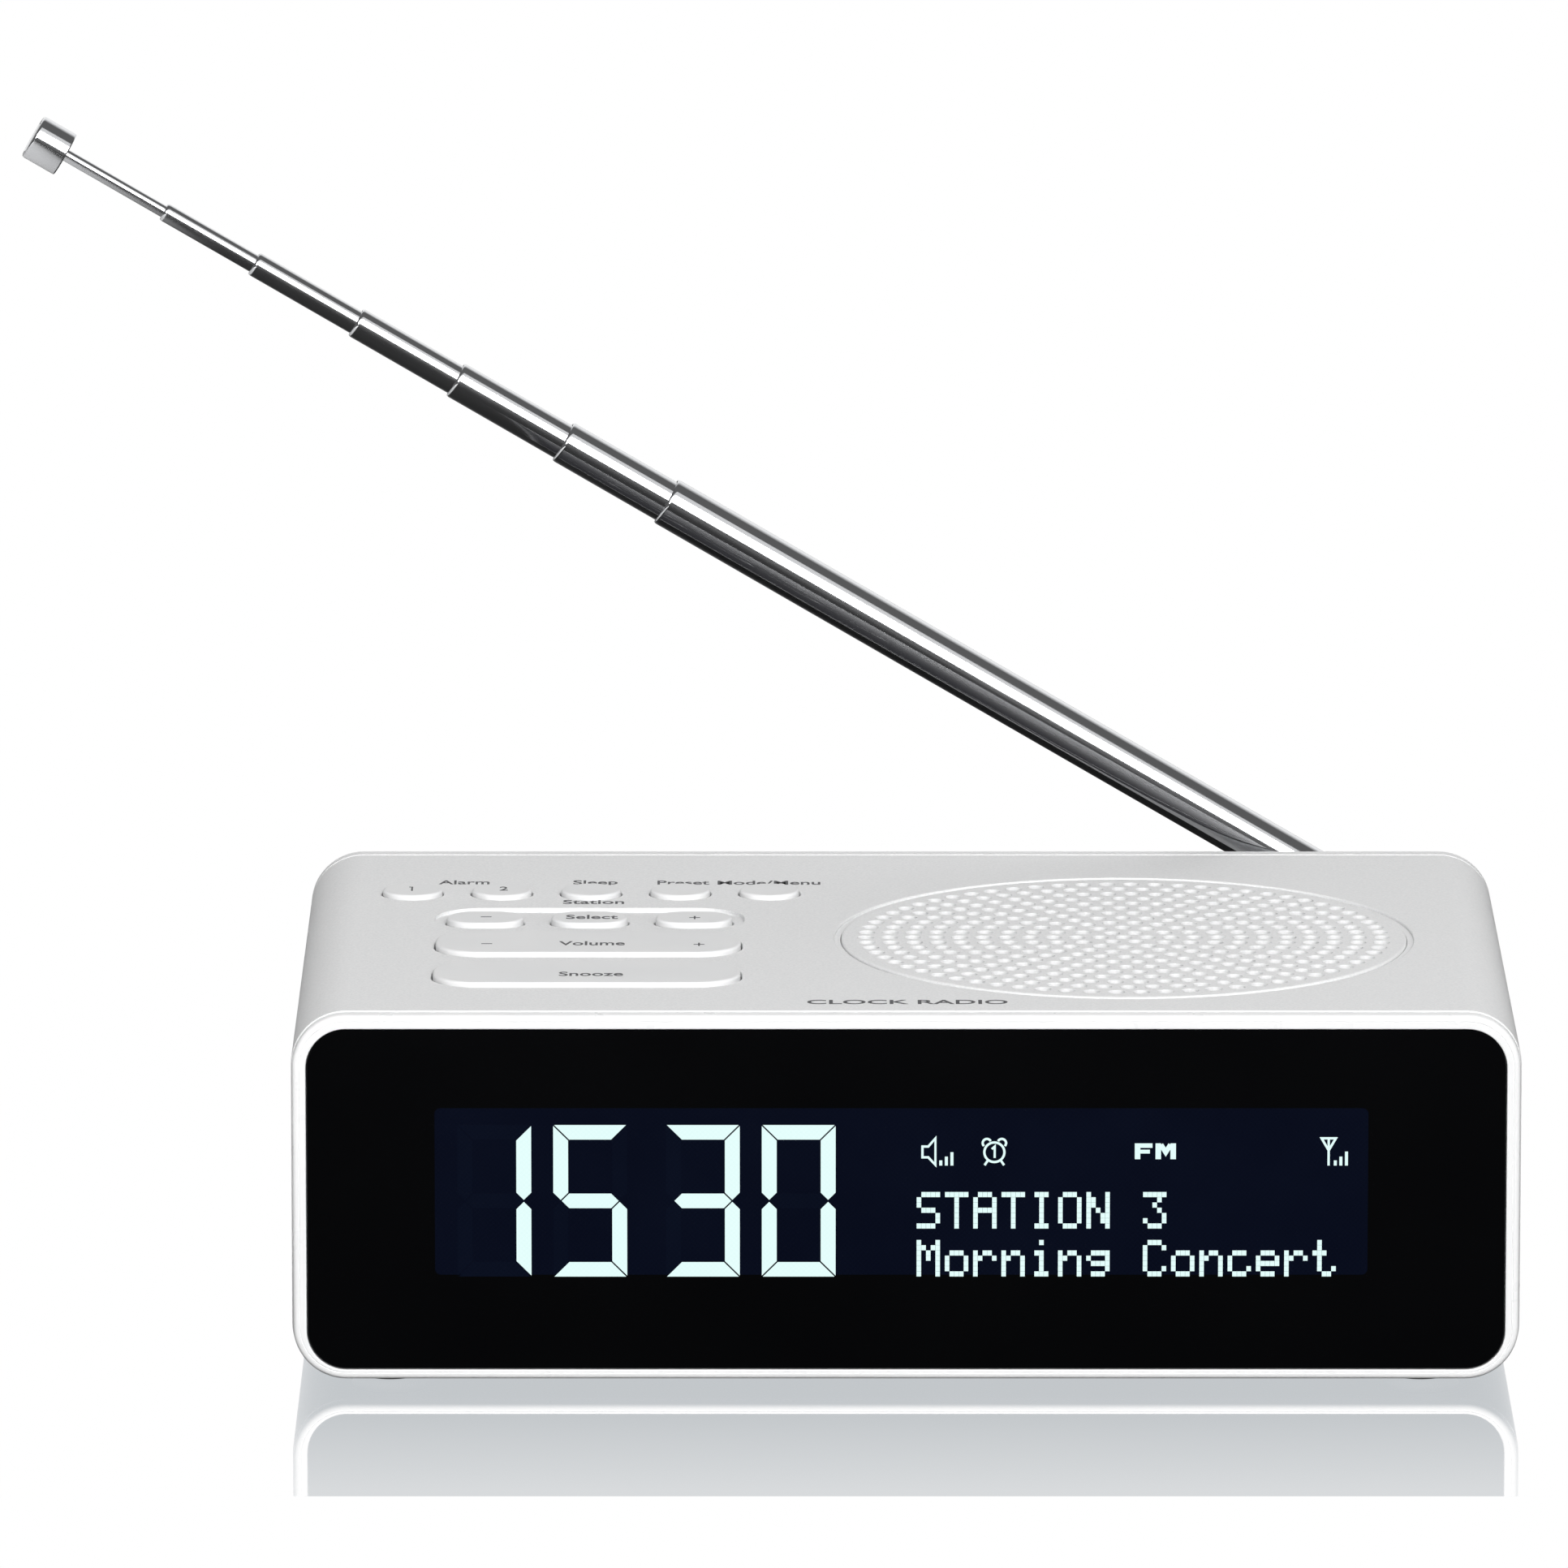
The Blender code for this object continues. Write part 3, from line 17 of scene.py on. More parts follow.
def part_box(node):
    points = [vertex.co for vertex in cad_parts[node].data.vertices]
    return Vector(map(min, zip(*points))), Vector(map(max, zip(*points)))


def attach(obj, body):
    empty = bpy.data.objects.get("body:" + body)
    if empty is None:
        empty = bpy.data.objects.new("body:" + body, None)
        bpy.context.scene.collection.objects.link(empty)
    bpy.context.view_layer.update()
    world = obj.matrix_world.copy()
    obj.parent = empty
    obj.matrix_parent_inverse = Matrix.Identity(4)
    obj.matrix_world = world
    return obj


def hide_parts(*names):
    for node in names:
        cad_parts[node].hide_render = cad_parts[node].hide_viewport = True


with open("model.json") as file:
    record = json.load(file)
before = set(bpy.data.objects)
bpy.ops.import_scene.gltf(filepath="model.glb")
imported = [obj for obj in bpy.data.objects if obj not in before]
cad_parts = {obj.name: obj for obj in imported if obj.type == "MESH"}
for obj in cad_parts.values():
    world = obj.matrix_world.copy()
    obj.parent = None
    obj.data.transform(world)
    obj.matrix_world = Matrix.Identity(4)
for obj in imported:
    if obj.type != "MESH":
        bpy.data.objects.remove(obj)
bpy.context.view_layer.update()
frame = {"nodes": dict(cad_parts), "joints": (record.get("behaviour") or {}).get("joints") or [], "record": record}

MM = 0.001

# %% [markdown]
# ## The camera
# A product view like this one is taken from a few metres away with a long lens, so that the
# cabinet's sides hardly converge. The camera stands 2.6 m in front, a little to the left of the
# middle, and looks down by eleven and a half degrees. A very long focal length then fills the
# picture with an object that is only 19 cm wide.

# %% Place the camera
CAMERA_PLACE = Vector((-18.87, -2628.0, 617.7)) * MM
CAMERA_DOWN = 11.53
FOCAL_LENGTH = 391.3
camera_data = bpy.data.cameras.new("product_camera")
camera_data.lens = FOCAL_LENGTH
camera_data.sensor_width = 36.0
camera_data.clip_end = 20.0
camera = bpy.data.objects.new("product_camera", camera_data)
camera.location = CAMERA_PLACE
camera.rotation_euler = (math.radians(90 - CAMERA_DOWN), 0, 0)
bpy.context.scene.collection.objects.link(camera)
bpy.context.scene.camera = camera
print("camera height above the floor in mm:", round(camera.location.z / MM))

# %% [markdown]
# ## Helpers for materials
# A material is a small tree of nodes, and each helper here adds one node to a tree: a noise
# texture, a change of range, a mix of two colours, a step of arithmetic, a bump. Textures lie
# on Object coordinates, which are metres, so a noise scale of 3000 gives grains of about a
# third of a millimetre. A started finish is kept in one list under its name.

# %% Helpers for materials
finishes = {}


def start_finish(name):
    finish = bpy.data.materials.new(name)
    finish.use_nodes = True
    finishes[name] = finish
    tree = finish.node_tree
    place = tree.nodes.new("ShaderNodeTexCoord").outputs["Object"]
    return tree, tree.nodes["Principled BSDF"], place


def stretched(tree, place, scale, turned_by=(0.0, 0.0, 0.0)):
    mapping = tree.nodes.new("ShaderNodeMapping")
    mapping.inputs["Rotation"].default_value = turned_by
    mapping.inputs["Scale"].default_value = scale
    tree.links.new(place, mapping.inputs["Vector"])
    return mapping.outputs[0]


def noise(tree, place, scale, detail=2.0):
    texture = tree.nodes.new("ShaderNodeTexNoise")
    texture.inputs["Scale"].default_value = scale
    texture.inputs["Detail"].default_value = detail
    tree.links.new(place, texture.inputs["Vector"])
    return texture.outputs["Fac"]


def between(tree, value, low, high, start=0.3, end=0.7):
    """Map a texture's usable middle, or another range, to a range of numbers."""
    node = tree.nodes.new("ShaderNodeMapRange")
    sockets = ("From Min", "From Max", "To Min", "To Max")
    for socket, number in zip(sockets, (start, end, low, high)):
        node.inputs[socket].default_value = number
    tree.links.new(value, node.inputs["Value"])
    return node.outputs[0]


def maths(tree, operation, *values, kind="ShaderNodeMath"):
    """One step of arithmetic. Each value is a number, a triple or another node's output."""
    node = tree.nodes.new(kind)
    node.operation = operation
    for socket, value in zip(node.inputs, values):
        if isinstance(value, bpy.types.NodeSocket):
            tree.links.new(value, socket)
        else:
            socket.default_value = value
    return node.outputs[0]


def vector_maths(tree, operation, *values):
    return maths(tree, operation, *values, kind="ShaderNodeVectorMath")


def blended(tree, factor, first, second):
    """Two colours mixed by a factor. Either may be a colour or another node's output."""
    node = tree.nodes.new("ShaderNodeMix")
    node.data_type = "RGBA"
    tree.links.new(factor, node.inputs[0])
    for socket, colour in ((node.inputs[6], first), (node.inputs[7], second)):
        if isinstance(colour, tuple):
            socket.default_value = (*colour, 1.0)
        else:
            tree.links.new(colour, socket)
    return node.outputs[2]


def relief(tree, shader, height, depth):
    bump = tree.nodes.new("ShaderNodeBump")
    bump.inputs["Distance"].default_value = depth
    tree.links.new(height, bump.inputs["Height"])
    tree.links.new(bump.outputs[0], shader.inputs["Normal"])


def grained(name, dark, light, gloss, grain, depth, drift=70, metallic=0.0, **sockets):
    """A moulded, cast or coated finish: two tones, uneven gloss and a fine grain in relief."""
    tree, shader, place = start_finish(name)
    tone = between(tree, noise(tree, place, drift, 4), 0, 1)
    tree.links.new(blended(tree, tone, dark, light), shader.inputs["Base Color"])
    uneven = between(tree, noise(tree, place, drift * 4), *gloss)
    tree.links.new(uneven, shader.inputs["Roughness"])
    relief(tree, shader, noise(tree, place, grain, 3), depth)
    shader.inputs["Metallic"].default_value = metallic
    for socket, value in sockets.items():
        shader.inputs[socket.replace("_", " ")].default_value = value


print("material helpers ready")

# %% [markdown]
# ## The studio
# White plastic and chrome need opposite things. The plastic wants broad soft light, and the
# chrome only looks like chrome when something dark is there to be mirrored. So the room is pale
# behind the radio and dim everywhere else. A large soft light hangs high in front, a little to
# the right: it lights the top and gives the antenna its long highlight. A dimmer panel above
# it softens that highlight's upper edge. A wide fill stands low in front, which lifts the front
# faces above the top. The fill is kept out of mirror reflections.

# %% A dim room with a pale back wall
ROOM_DIM = 0.13
PALE_FROM, PALE_TO = 0.50, 0.82
room = bpy.data.worlds.new("studio_room")
room.use_nodes = True
bpy.context.scene.world = room
bpy.context.scene.view_settings.view_transform = "Standard"
sky = room.node_tree
background = sky.nodes["Background"]
background.inputs["Color"].default_value = (1.0, 1.0, 1.0, 1.0)
direction = sky.nodes.new("ShaderNodeSeparateXYZ")
sky.links.new(sky.nodes.new("ShaderNodeTexCoord").outputs["Generated"], direction.inputs[0])
backness = between(sky, direction.outputs["Y"], ROOM_DIM, 1.0, PALE_FROM, PALE_TO)
sky.links.new(backness, background.inputs["Strength"])
print("room light away from the back wall:", ROOM_DIM)

# %% Three soft lights
RADIO_MIDDLE = Vector((0, 0, 0.08))


def soft_light(name, place, width, height, power, mirrored=True):
    """A rectangular light that faces the radio."""
    lamp = bpy.data.lights.new(name, "AREA")
    lamp.shape = "RECTANGLE"
    lamp.size, lamp.size_y = width, height
    lamp.energy = power
    light = bpy.data.objects.new(name, lamp)
    light.location = place
    light.rotation_euler = (RADIO_MIDDLE - Vector(place)).to_track_quat("-Z", "Y").to_euler()
    light.visible_glossy = mirrored
    light.visible_camera = False
    bpy.context.scene.collection.objects.link(light)


soft_light("high_softbox", (0.50, -2.20, 1.42), 2.7, 1.5, 77)
soft_light("upper_glow", (0.80, -1.55, 2.30), 2.6, 0.9, 5)
soft_light("front_fill", (-0.7, -2.5, 0.62), 3.6, 0.9, 22, mirrored=False)

# %% [markdown]
# ## The floor
# The radio stands on a white table with a polished strip, which ends a hand's width in front of
# it and fades out at the sides and behind. It mirrors almost half of what stands on it. The
# table's own white is made with emission, so that it stays even. Light Path lets only the camera
# see that white: to the chrome and to the black lens the table is painted dark near the radio and
# pale far behind it, a painted reflection of a studio whose sheet curves up at the back.

# %% Build the floor
FLOOR_HALF = 6.0
STRIP_END, STRIP_EDGE = -0.129, 0.0001
POLISH_FRONT, POLISH_UNDER = 0.30, 0.43
POLISH_TINT = (1.06, 1.0, 0.95)
POLISH_ROUGHNESS = 0.03
floor_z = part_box("foot_front_left")[0].z
floor_mesh = bpy.data.meshes.new("floor")
floor_mesh.from_pydata([(x * FLOOR_HALF, y * FLOOR_HALF, floor_z) for x, y in
                        ((-1, -1), (1, -1), (1, 1), (-1, 1))], [], [(0, 1, 2, 3)])
floor = bpy.data.objects.new("floor", floor_mesh)
bpy.context.scene.collection.objects.link(floor)

table = bpy.data.materials.new("polished_table")
table.use_nodes = True
tree = table.node_tree
tree.nodes.remove(tree.nodes["Principled BSDF"])
spot = tree.nodes.new("ShaderNodeSeparateXYZ")
tree.links.new(tree.nodes.new("ShaderNodeTexCoord").outputs["Object"], spot.inputs[0])
sideways, depth_in = spot.outputs["X"], spot.outputs["Y"]
polish_here = between(tree, depth_in, POLISH_FRONT, POLISH_UNDER, -0.125, -0.075)
for way, low, high, start, end in ((depth_in, 0.0, 1.0, STRIP_END - STRIP_EDGE, STRIP_END),
                                   (depth_in, 1.0, 0.0, 0.09, 0.24),
                                   (sideways, 1.0, 0.0, -0.12, -0.26),
                                   (sideways, 1.0, 0.0, 0.12, 0.26)):
    fade = between(tree, way, low, high, start, end)
    polish_here = vector_maths(tree, "MULTIPLY", polish_here, fade)
mirror_share = vector_maths(tree, "MULTIPLY", polish_here, POLISH_TINT)
white_share = vector_maths(tree, "SUBTRACT", (1.0, 1.0, 1.0), mirror_share)
even_white = tree.nodes.new("ShaderNodeEmission")
polish = tree.nodes.new("ShaderNodeBsdfGlossy")
polish.inputs["Roughness"].default_value = POLISH_ROUGHNESS
seen = tree.nodes.new("ShaderNodeAddShader")
# Painted reflection: to all but camera rays the table is painted dark near the radio and pale far behind it and
# far to the left.
sheet = tree.nodes.new("ShaderNodeBsdfDiffuse")
painted_pale_back = between(tree, depth_in, 0.045, 0.60, 0.15, 0.6)
painted_pale_left = between(tree, sideways, 0.0, 0.95, -0.19, -0.23)
whole = tree.nodes.new("ShaderNodeMixShader")
for source, target in (
        (white_share, even_white.inputs["Color"]), (mirror_share, polish.inputs["Color"]),
        (even_white.outputs[0], seen.inputs[0]), (polish.outputs[0], seen.inputs[1]),
        (vector_maths(tree, "MAXIMUM", painted_pale_back, painted_pale_left), sheet.inputs["Color"]),
        (tree.nodes.new("ShaderNodeLightPath").outputs["Is Camera Ray"], whole.inputs[0]),
        (sheet.outputs[0], whole.inputs[1]), (seen.outputs[0], whole.inputs[2]),
        (whole.outputs[0], tree.nodes["Material Output"].inputs["Surface"])):
    tree.links.new(source, target)
floor_mesh.materials.append(table)
print("floor height in mm:", round(floor_z / MM, 2))

# %% [markdown]
# ## Finishes
# Nearly every finish here has three layers of detail: a colour that drifts a little between two
# tones, a gloss that is not quite even, and a fine relief. One helper makes that set. Sockets
# with one value for the whole surface are typed in.

# %% Plastics, rubber and metal
grained("cabinet_white", (0.775, 0.780, 0.785), (0.870, 0.870, 0.870), (0.50, 0.60), 2600,
        0.000030, 2400)
grained("key_white", (0.790, 0.795, 0.800), (0.825, 0.825, 0.825), (0.46, 0.55), 3000, 0.000014)
grained("frame_white", (0.86, 0.865, 0.87), (0.89, 0.89, 0.89), (0.27, 0.36), 1500, 0.000004)
grained("grey_plastic", (0.27, 0.27, 0.28), (0.33, 0.33, 0.34), (0.50, 0.62), 2500, 0.00002)
grained("black_plastic", (0.014, 0.014, 0.015), (0.026, 0.026, 0.027), (0.38, 0.52), 2800,
        0.00002)
grained("silicone", (0.38, 0.39, 0.40), (0.45, 0.46, 0.47), (0.62, 0.74), 1800, 0.00001,
        Sheen_Weight=0.2)
grained("foot_rubber", (0.46, 0.46, 0.47), (0.54, 0.54, 0.55), (0.62, 0.78), 3200, 0.00004)
grained("tinned_steel", (0.56, 0.57, 0.58), (0.68, 0.69, 0.70), (0.26, 0.40), 900, 0.000006, 140,
        1.0)
grained("ferrite", (0.035, 0.035, 0.037), (0.070, 0.070, 0.072), (0.50, 0.68), 1400, 0.00003)
grained("red_wire", (0.40, 0.022, 0.020), (0.50, 0.035, 0.030), (0.38, 0.50), 1600, 0.000008)
grained("label_ink", (0.050, 0.050, 0.054), (0.085, 0.085, 0.090), (0.55, 0.7), 5200, 0.00001,
        900)
grained("nickel", (0.60, 0.58, 0.54), (0.70, 0.68, 0.64), (0.18, 0.30), 1200, 0.000004, 200, 1.0)
print("plain finishes:", len(finishes))

# %% Painted dark reflection: keep the bright top out of the antenna's mirror
# Painted reflection: the dark base colour that upward white faces show to mirror rays.
PAINTED_REFLECTION_DARK = (0.03, 0.03, 0.035)


def paint_dark_reflection(name):
    """Painted dark reflection: upward faces get a dark base colour for mirror rays only, so that the antenna's
    lower half stays dark.
    """
    tree = finishes[name].node_tree
    shader = tree.nodes["Principled BSDF"]
    faces_up = tree.nodes.new("ShaderNodeSeparateXYZ")
    tree.links.new(tree.nodes.new("ShaderNodeNewGeometry").outputs["Normal"], faces_up.inputs[0])
    painted_reflection_mask = maths(tree, "MULTIPLY", between(tree, faces_up.outputs["Z"], 0, 1, 0.5, 0.8),
                        tree.nodes.new("ShaderNodeLightPath").outputs["Is Glossy Ray"])
    own_colour = shader.inputs["Base Color"].links[0].from_socket
    tree.links.new(blended(tree, painted_reflection_mask, own_colour, PAINTED_REFLECTION_DARK),
                   shader.inputs["Base Color"])


# Paint the dark reflection into the top's white finishes.
for name in ("cabinet_white", "key_white"):
    paint_dark_reflection(name)
print("finishes dark in mirrors: cabinet_white, key_white")

# %% [markdown]
# ## Chrome
# The antenna's tubes are drawn brass, polished and plated. Drawing leaves very fine lines along
# each tube, and handling leaves faint smears. The lines are noise that is squeezed along the
# tube and stretched across it, turned to the antenna's rise by a Mapping node; the smears are a
# slow noise in the roughness only, so the plating keeps its one colour.

# %% Make the chrome
slide = next(joint for joint in frame["joints"] if joint["name"] == "antenna_slide_2")
turn = next(joint for joint in frame["joints"] if joint["name"] == "antenna_turn")
along = Vector(slide["axis"]).normalized()
elbow = Vector(turn["pos_m"])
rise = math.atan2(along.z, -along.x)
tree, shader, place = start_finish("chrome")
drawn_lines = noise(tree, stretched(tree, place, (12, 1500, 1500), (0, -rise, 0)), 1.0, 3)
smears = between(tree, noise(tree, place, 55, 5), 0.075, 0.125, 0.35, 0.75)
tree.links.new(smears, shader.inputs["Roughness"])
tone = blended(tree, noise(tree, place, 30), (0.70, 0.71, 0.73), (0.78, 0.785, 0.80))
tree.links.new(tone, shader.inputs["Base Color"])
relief(tree, shader, drawn_lines, 0.0000001)
shader.inputs["Metallic"].default_value = 1.0
print("antenna rises by", round(math.degrees(rise), 2), "degrees")

# %% [markdown]
# ## The black lens, the display and its light
# The lens is a sheet of acrylic, printed black from behind, with a clear window. Its gloss is
# what makes it look deep, so its colour is almost nothing and only the roughness drifts. The
# display behind the window is a navy field with a faint weave of cells, and the lit segments
# are pale cyan. Those shine, so they use emission.

# %% Make the lens, the navy field and the lit segments
grained("black_lens", (0.0006, 0.0007, 0.0010), (0.0012, 0.0013, 0.0016), (0.035, 0.07), 260,
        0.0000012, 25, IOR=1.45)
UNLIT_DARK, UNLIT_LIGHT = (0.0006, 0.0008, 0.0016), (0.0010, 0.0012, 0.0022)
GLASS_ROUGHNESS = 0.12


def lit_finish(name, dark, light, shine, cell=0.0004):
    """A part of the display: a fine square weave between two tones, and its own light."""
    tree, shader, place = start_finish(name)
    cells = tree.nodes.new("ShaderNodeTexChecker")
    cells.inputs["Scale"].default_value = 1 / cell
    tree.links.new(place, cells.inputs["Vector"])
    cloud = between(tree, noise(tree, place, 90, 3), 0.0, 0.5)
    weave = maths(tree, "MULTIPLY_ADD", cells.outputs["Fac"], 0.5, cloud)
    tree.links.new(blended(tree, weave, UNLIT_DARK, UNLIT_LIGHT), shader.inputs["Base Color"])
    tree.links.new(blended(tree, weave, dark, light), shader.inputs["Emission Color"])
    shader.inputs["Emission Strength"].default_value = shine
    shader.inputs["Roughness"].default_value = GLASS_ROUGHNESS


lit_finish("navy_field", (0.0004, 0.0016, 0.0090), (0.0008, 0.0028, 0.0120), 0.8)
lit_finish("ghost_segment", (0.0009, 0.0027, 0.0110), (0.0014, 0.0040, 0.0145), 0.8)
lit_finish("lit_segment", (0.76, 0.98, 0.96), (0.80, 1.0, 0.985), 1.0)
lit_finish("diffuser", (0.70, 0.78, 0.82), (0.76, 0.84, 0.88), 0.15, 0.002)
print("display finishes made")

# %% [markdown]
# ## Finishes for what is inside
# Nobody sees the boards until the cover is off, but each still gets the pattern that its kind
# has: copper tracks and pads under green lacquer, pressed fibres in the speaker's paper, and
# the parallel conductors of a flat ribbon.

# %% Circuit board, paper and ribbon
tree, shader, place = start_finish("circuit_board")
tracks = tree.nodes.new("ShaderNodeTexBrick")
for socket, number in (("Scale", 90.0), ("Mortar Size", 0.035), ("Mortar Smooth", 0.2)):
    tracks.inputs[socket].default_value = number
tracks.inputs["Color1"].default_value = (0.012, 0.120, 0.050, 1)
tracks.inputs["Color2"].default_value = (0.016, 0.145, 0.062, 1)
tracks.inputs["Mortar"].default_value = (0.035, 0.260, 0.110, 1)
tree.links.new(stretched(tree, place, (1.0, 1.6, 1.0)), tracks.inputs["Vector"])
pads = tree.nodes.new("ShaderNodeTexVoronoi")
pads.inputs["Scale"].default_value = 180
tree.links.new(place, pads.inputs["Vector"])
solder = between(tree, pads.outputs["Distance"], 1.0, 0.0, 0.13, 0.17)
tree.links.new(blended(tree, solder, tracks.outputs["Color"], (0.55, 0.55, 0.52)),
               shader.inputs["Base Color"])
tree.links.new(between(tree, noise(tree, place, 400), 0.25, 0.42), shader.inputs["Roughness"])
relief(tree, shader, solder, 0.00005)

tree, shader, place = start_finish("paper_cone")
fibres = noise(tree, stretched(tree, place, (900, 900, 2600)), 1.0, 6)
tree.links.new(blended(tree, fibres, (0.016, 0.016, 0.017), (0.050, 0.050, 0.050)),
               shader.inputs["Base Color"])
tree.links.new(between(tree, fibres, 0.78, 0.92), shader.inputs["Roughness"])
relief(tree, shader, fibres, 0.00008)

tree, shader, place = start_finish("flat_ribbon")
conductors = tree.nodes.new("ShaderNodeTexWave")
conductors.inputs["Scale"].default_value = 160
conductors.inputs["Distortion"].default_value = 0.0
tree.links.new(place, conductors.inputs["Vector"])
tree.links.new(blended(tree, conductors.outputs["Fac"], (0.52, 0.52, 0.50), (0.76, 0.76, 0.73)),
               shader.inputs["Base Color"])
tree.links.new(between(tree, noise(tree, place, 300), 0.4, 0.55), shader.inputs["Roughness"])
relief(tree, shader, conductors.outputs["Fac"], 0.00006)
print("finishes in all:", len(finishes))

# %% [markdown]
# ## Dress the measured pieces that stay
# The hidden pieces keep their measured shape, and so does anything whose shape is already
# right. Only their material slots change.

# %% Give the inner pieces their finishes
INNER_FINISH = {
    "lcd_glass": "navy_field", "lcd_backlight": "diffuser", "lcd_holder": "grey_plastic",
    "display_board": "circuit_board", "key_board": "circuit_board", "main_board": "circuit_board",
    "key_mat": "silicone", "display_ribbon": "flat_ribbon", "key_ribbon": "flat_ribbon",
    "speaker_frame": "tinned_steel", "speaker_cone": "paper_cone", "speaker_magnet": "ferrite",
    "speaker_lead": "red_wire", "tuner_can": "tinned_steel", "amplifier_chip": "black_plastic",
    "capacitor": "black_plastic", "antenna_nut": "tinned_steel",
}
for kind, count in (("speaker_screw", 4), ("board_screw", 2)):
    for index in range(1, count + 1):
        INNER_FINISH[f"{kind}_{index}"] = "tinned_steel"
for node, finish in INNER_FINISH.items():
    slots = frame["nodes"][node].data.materials
    slots.clear()
    slots.append(finishes[finish])
print("inner pieces dressed:", len(INNER_FINISH))

# %% [markdown]
# ## One way to make a moulded piece
# A moulded piece is an outline that changes from level to level: it grows, shrinks and rounds
# over at its edges. So a piece is written as a profile, a list of (size, place) pairs. One
# helper turns a profile into rings with the same number of points, and another skins them.
# Every rounded rectangle below has the same number of points at any size, and so has a circle,
# which is why a square socket can run smoothly into its round bore. The rings close on
# themselves for a hollow piece, and end in flat faces for a solid one.

# %% Outlines and the skin over them
CORNER_STEPS = 16
RING_POINTS = 4 * (CORNER_STEPS + 1)
SHARP_ANGLE = 32
TINY = 0.01 * MM


def rounded_outline(width, height, radius, centre=(0.0, 0.0)):
    """A rectangle with round corners, anticlockwise, always with RING_POINTS points."""
    radius = min(max(radius, TINY), width / 2 - TINY, height / 2 - TINY)
    points = []
    for quarter, (side_x, side_y) in enumerate(((1, 1), (-1, 1), (-1, -1), (1, -1))):
        middle_x = centre[0] + side_x * (width / 2 - radius)
        middle_y = centre[1] + side_y * (height / 2 - radius)
        for step in range(CORNER_STEPS + 1):
            angle = math.pi / 2 * (quarter + step / CORNER_STEPS)
            points.append((middle_x + radius * math.cos(angle),
                           middle_y + radius * math.sin(angle)))
    return points


def circle_outline(radius, centre=(0.0, 0.0), count=RING_POINTS):
    angles = [2 * math.pi * step / count for step in range(count)]
    return [(centre[0] + radius * math.cos(a), centre[1] + radius * math.sin(a)) for a in angles]


def level(outline, height, facing="Z"):
    """An outline laid at a height: flat for Z, or standing and facing the front for Y."""
    if facing == "Z":
        return [Vector((x, y, height)) for x, y in outline]
    return [Vector((x, height, z)) for x, z in outline]


def plain_mesh(thing):
    """The mesh that an object comes to, with its modifiers or its text worked out."""
    depsgraph = bpy.context.evaluated_depsgraph_get()
    return bpy.data.meshes.new_from_object(thing.evaluated_get(depsgraph))


def plain(piece):
    """Replace a piece's mesh with its evaluated, modifier-free self."""
    mesh = plain_mesh(piece)
    mesh.name = piece.name
    piece.modifiers.clear()
    piece.data = mesh
    return piece


def shade_evenly(piece):
    """Smooth shading that keeps sharp edges, and lets the large flat faces rule the normals."""
    piece.data.shade_smooth()
    piece.data.set_sharp_from_angle(angle=math.radians(SHARP_ANGLE))
    weights = piece.modifiers.new("Even normals", "WEIGHTED_NORMAL")
    weights.keep_sharp = True
    return plain(piece)


def finish_mesh(name, form, finish, smooth=True):
    bmesh.ops.remove_doubles(form, verts=form.verts, dist=1e-7)
    bmesh.ops.recalc_face_normals(form, faces=form.faces)
    mesh = bpy.data.meshes.new(name)
    form.to_mesh(mesh)
    form.free()
    piece = bpy.data.objects.new(name, mesh)
    bpy.context.scene.collection.objects.link(piece)
    mesh.materials.append(finishes[finish])
    return shade_evenly(piece) if smooth else piece


def add_form(form, rings, hollow=False):
    """Faces between rings that follow each other, and flat ends unless the form is hollow."""
    rows = [[form.verts.new(point) for point in ring] for ring in rings]
    if not hollow:
        form.faces.new(rows[0])
        form.faces.new(rows[-1])
    for lower, upper in zip(rows, rows[1:] + rows[:1] if hollow else rows[1:]):
        for index in range(len(lower)):
            after = (index + 1) % len(lower)
            form.faces.new((lower[index], lower[after], upper[after], upper[index]))


def skin(name, rings, finish, hollow=False):
    form = bmesh.new()
    add_form(form, rings, hollow)
    return finish_mesh(name, form, finish)


def stacked(outline_at, profile, facing="Z"):
    """Outlines of changing size one behind the other, from (size, place) pairs."""
    return [level(outline_at(size), place, facing) for size, place in profile]


def circles(profile, centre, facing="Z", count=RING_POINTS):
    return stacked(lambda radius: circle_outline(radius, centre, count), profile, facing)


def over_edge(size, surface, radius, steps=5, grow=-1, into=-1):
    """(size, place) pairs from the side of a rounded edge over to the surface on top of it.

    grow is +1 where the outline's size is an inset, and into is the way from the surface
    into the piece.
    """
    turns = [math.pi / 2 * step / steps for step in range(steps + 1)]
    return [(size + grow * radius * (1 - math.cos(turn)),
             surface + into * radius * (1 - math.sin(turn))) for turn in turns]


def face_middle(node, facing="Y"):
    """The middle of a node's box: seen from above for Z, or from the front for Y."""
    low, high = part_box(node)
    middle = (low + high) / 2
    return (middle.x, middle.y) if facing == "Z" else (middle.x, middle.z)


def discard(piece):
    bpy.data.objects.remove(piece, do_unlink=True)


def triangles(piece):
    return sum(len(face.vertices) - 2 for face in piece.data.polygons)


def settle(piece, body, slot, *nodes):
    """Say what a finished piece rides on and which nodes it stands for; slot is not used."""
    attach(piece, body)
    if nodes:
        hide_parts(*nodes)
    return piece


print("points on every outline:", RING_POINTS)

# %% [markdown]
# ## Cutting holes
# The openings in the cabinet have softly rounded rims. A bevel after a Boolean tends to break
# where edges crowd together, so here the cutter itself is flared at its top: it leaves the
# rounded rim behind as it cuts. The Boolean is applied at once, and the cutter is removed.

# %% A cutting helper
def cut_away(piece, cutters, operation="DIFFERENCE"):
    for cutter in cutters:
        change = piece.modifiers.new(cutter.name, "BOOLEAN")
        change.object = cutter
        change.operation = operation
        change.solver = "MANIFOLD"
    plain(piece)
    for cutter in cutters:
        discard(cutter)
    return shade_evenly(piece)


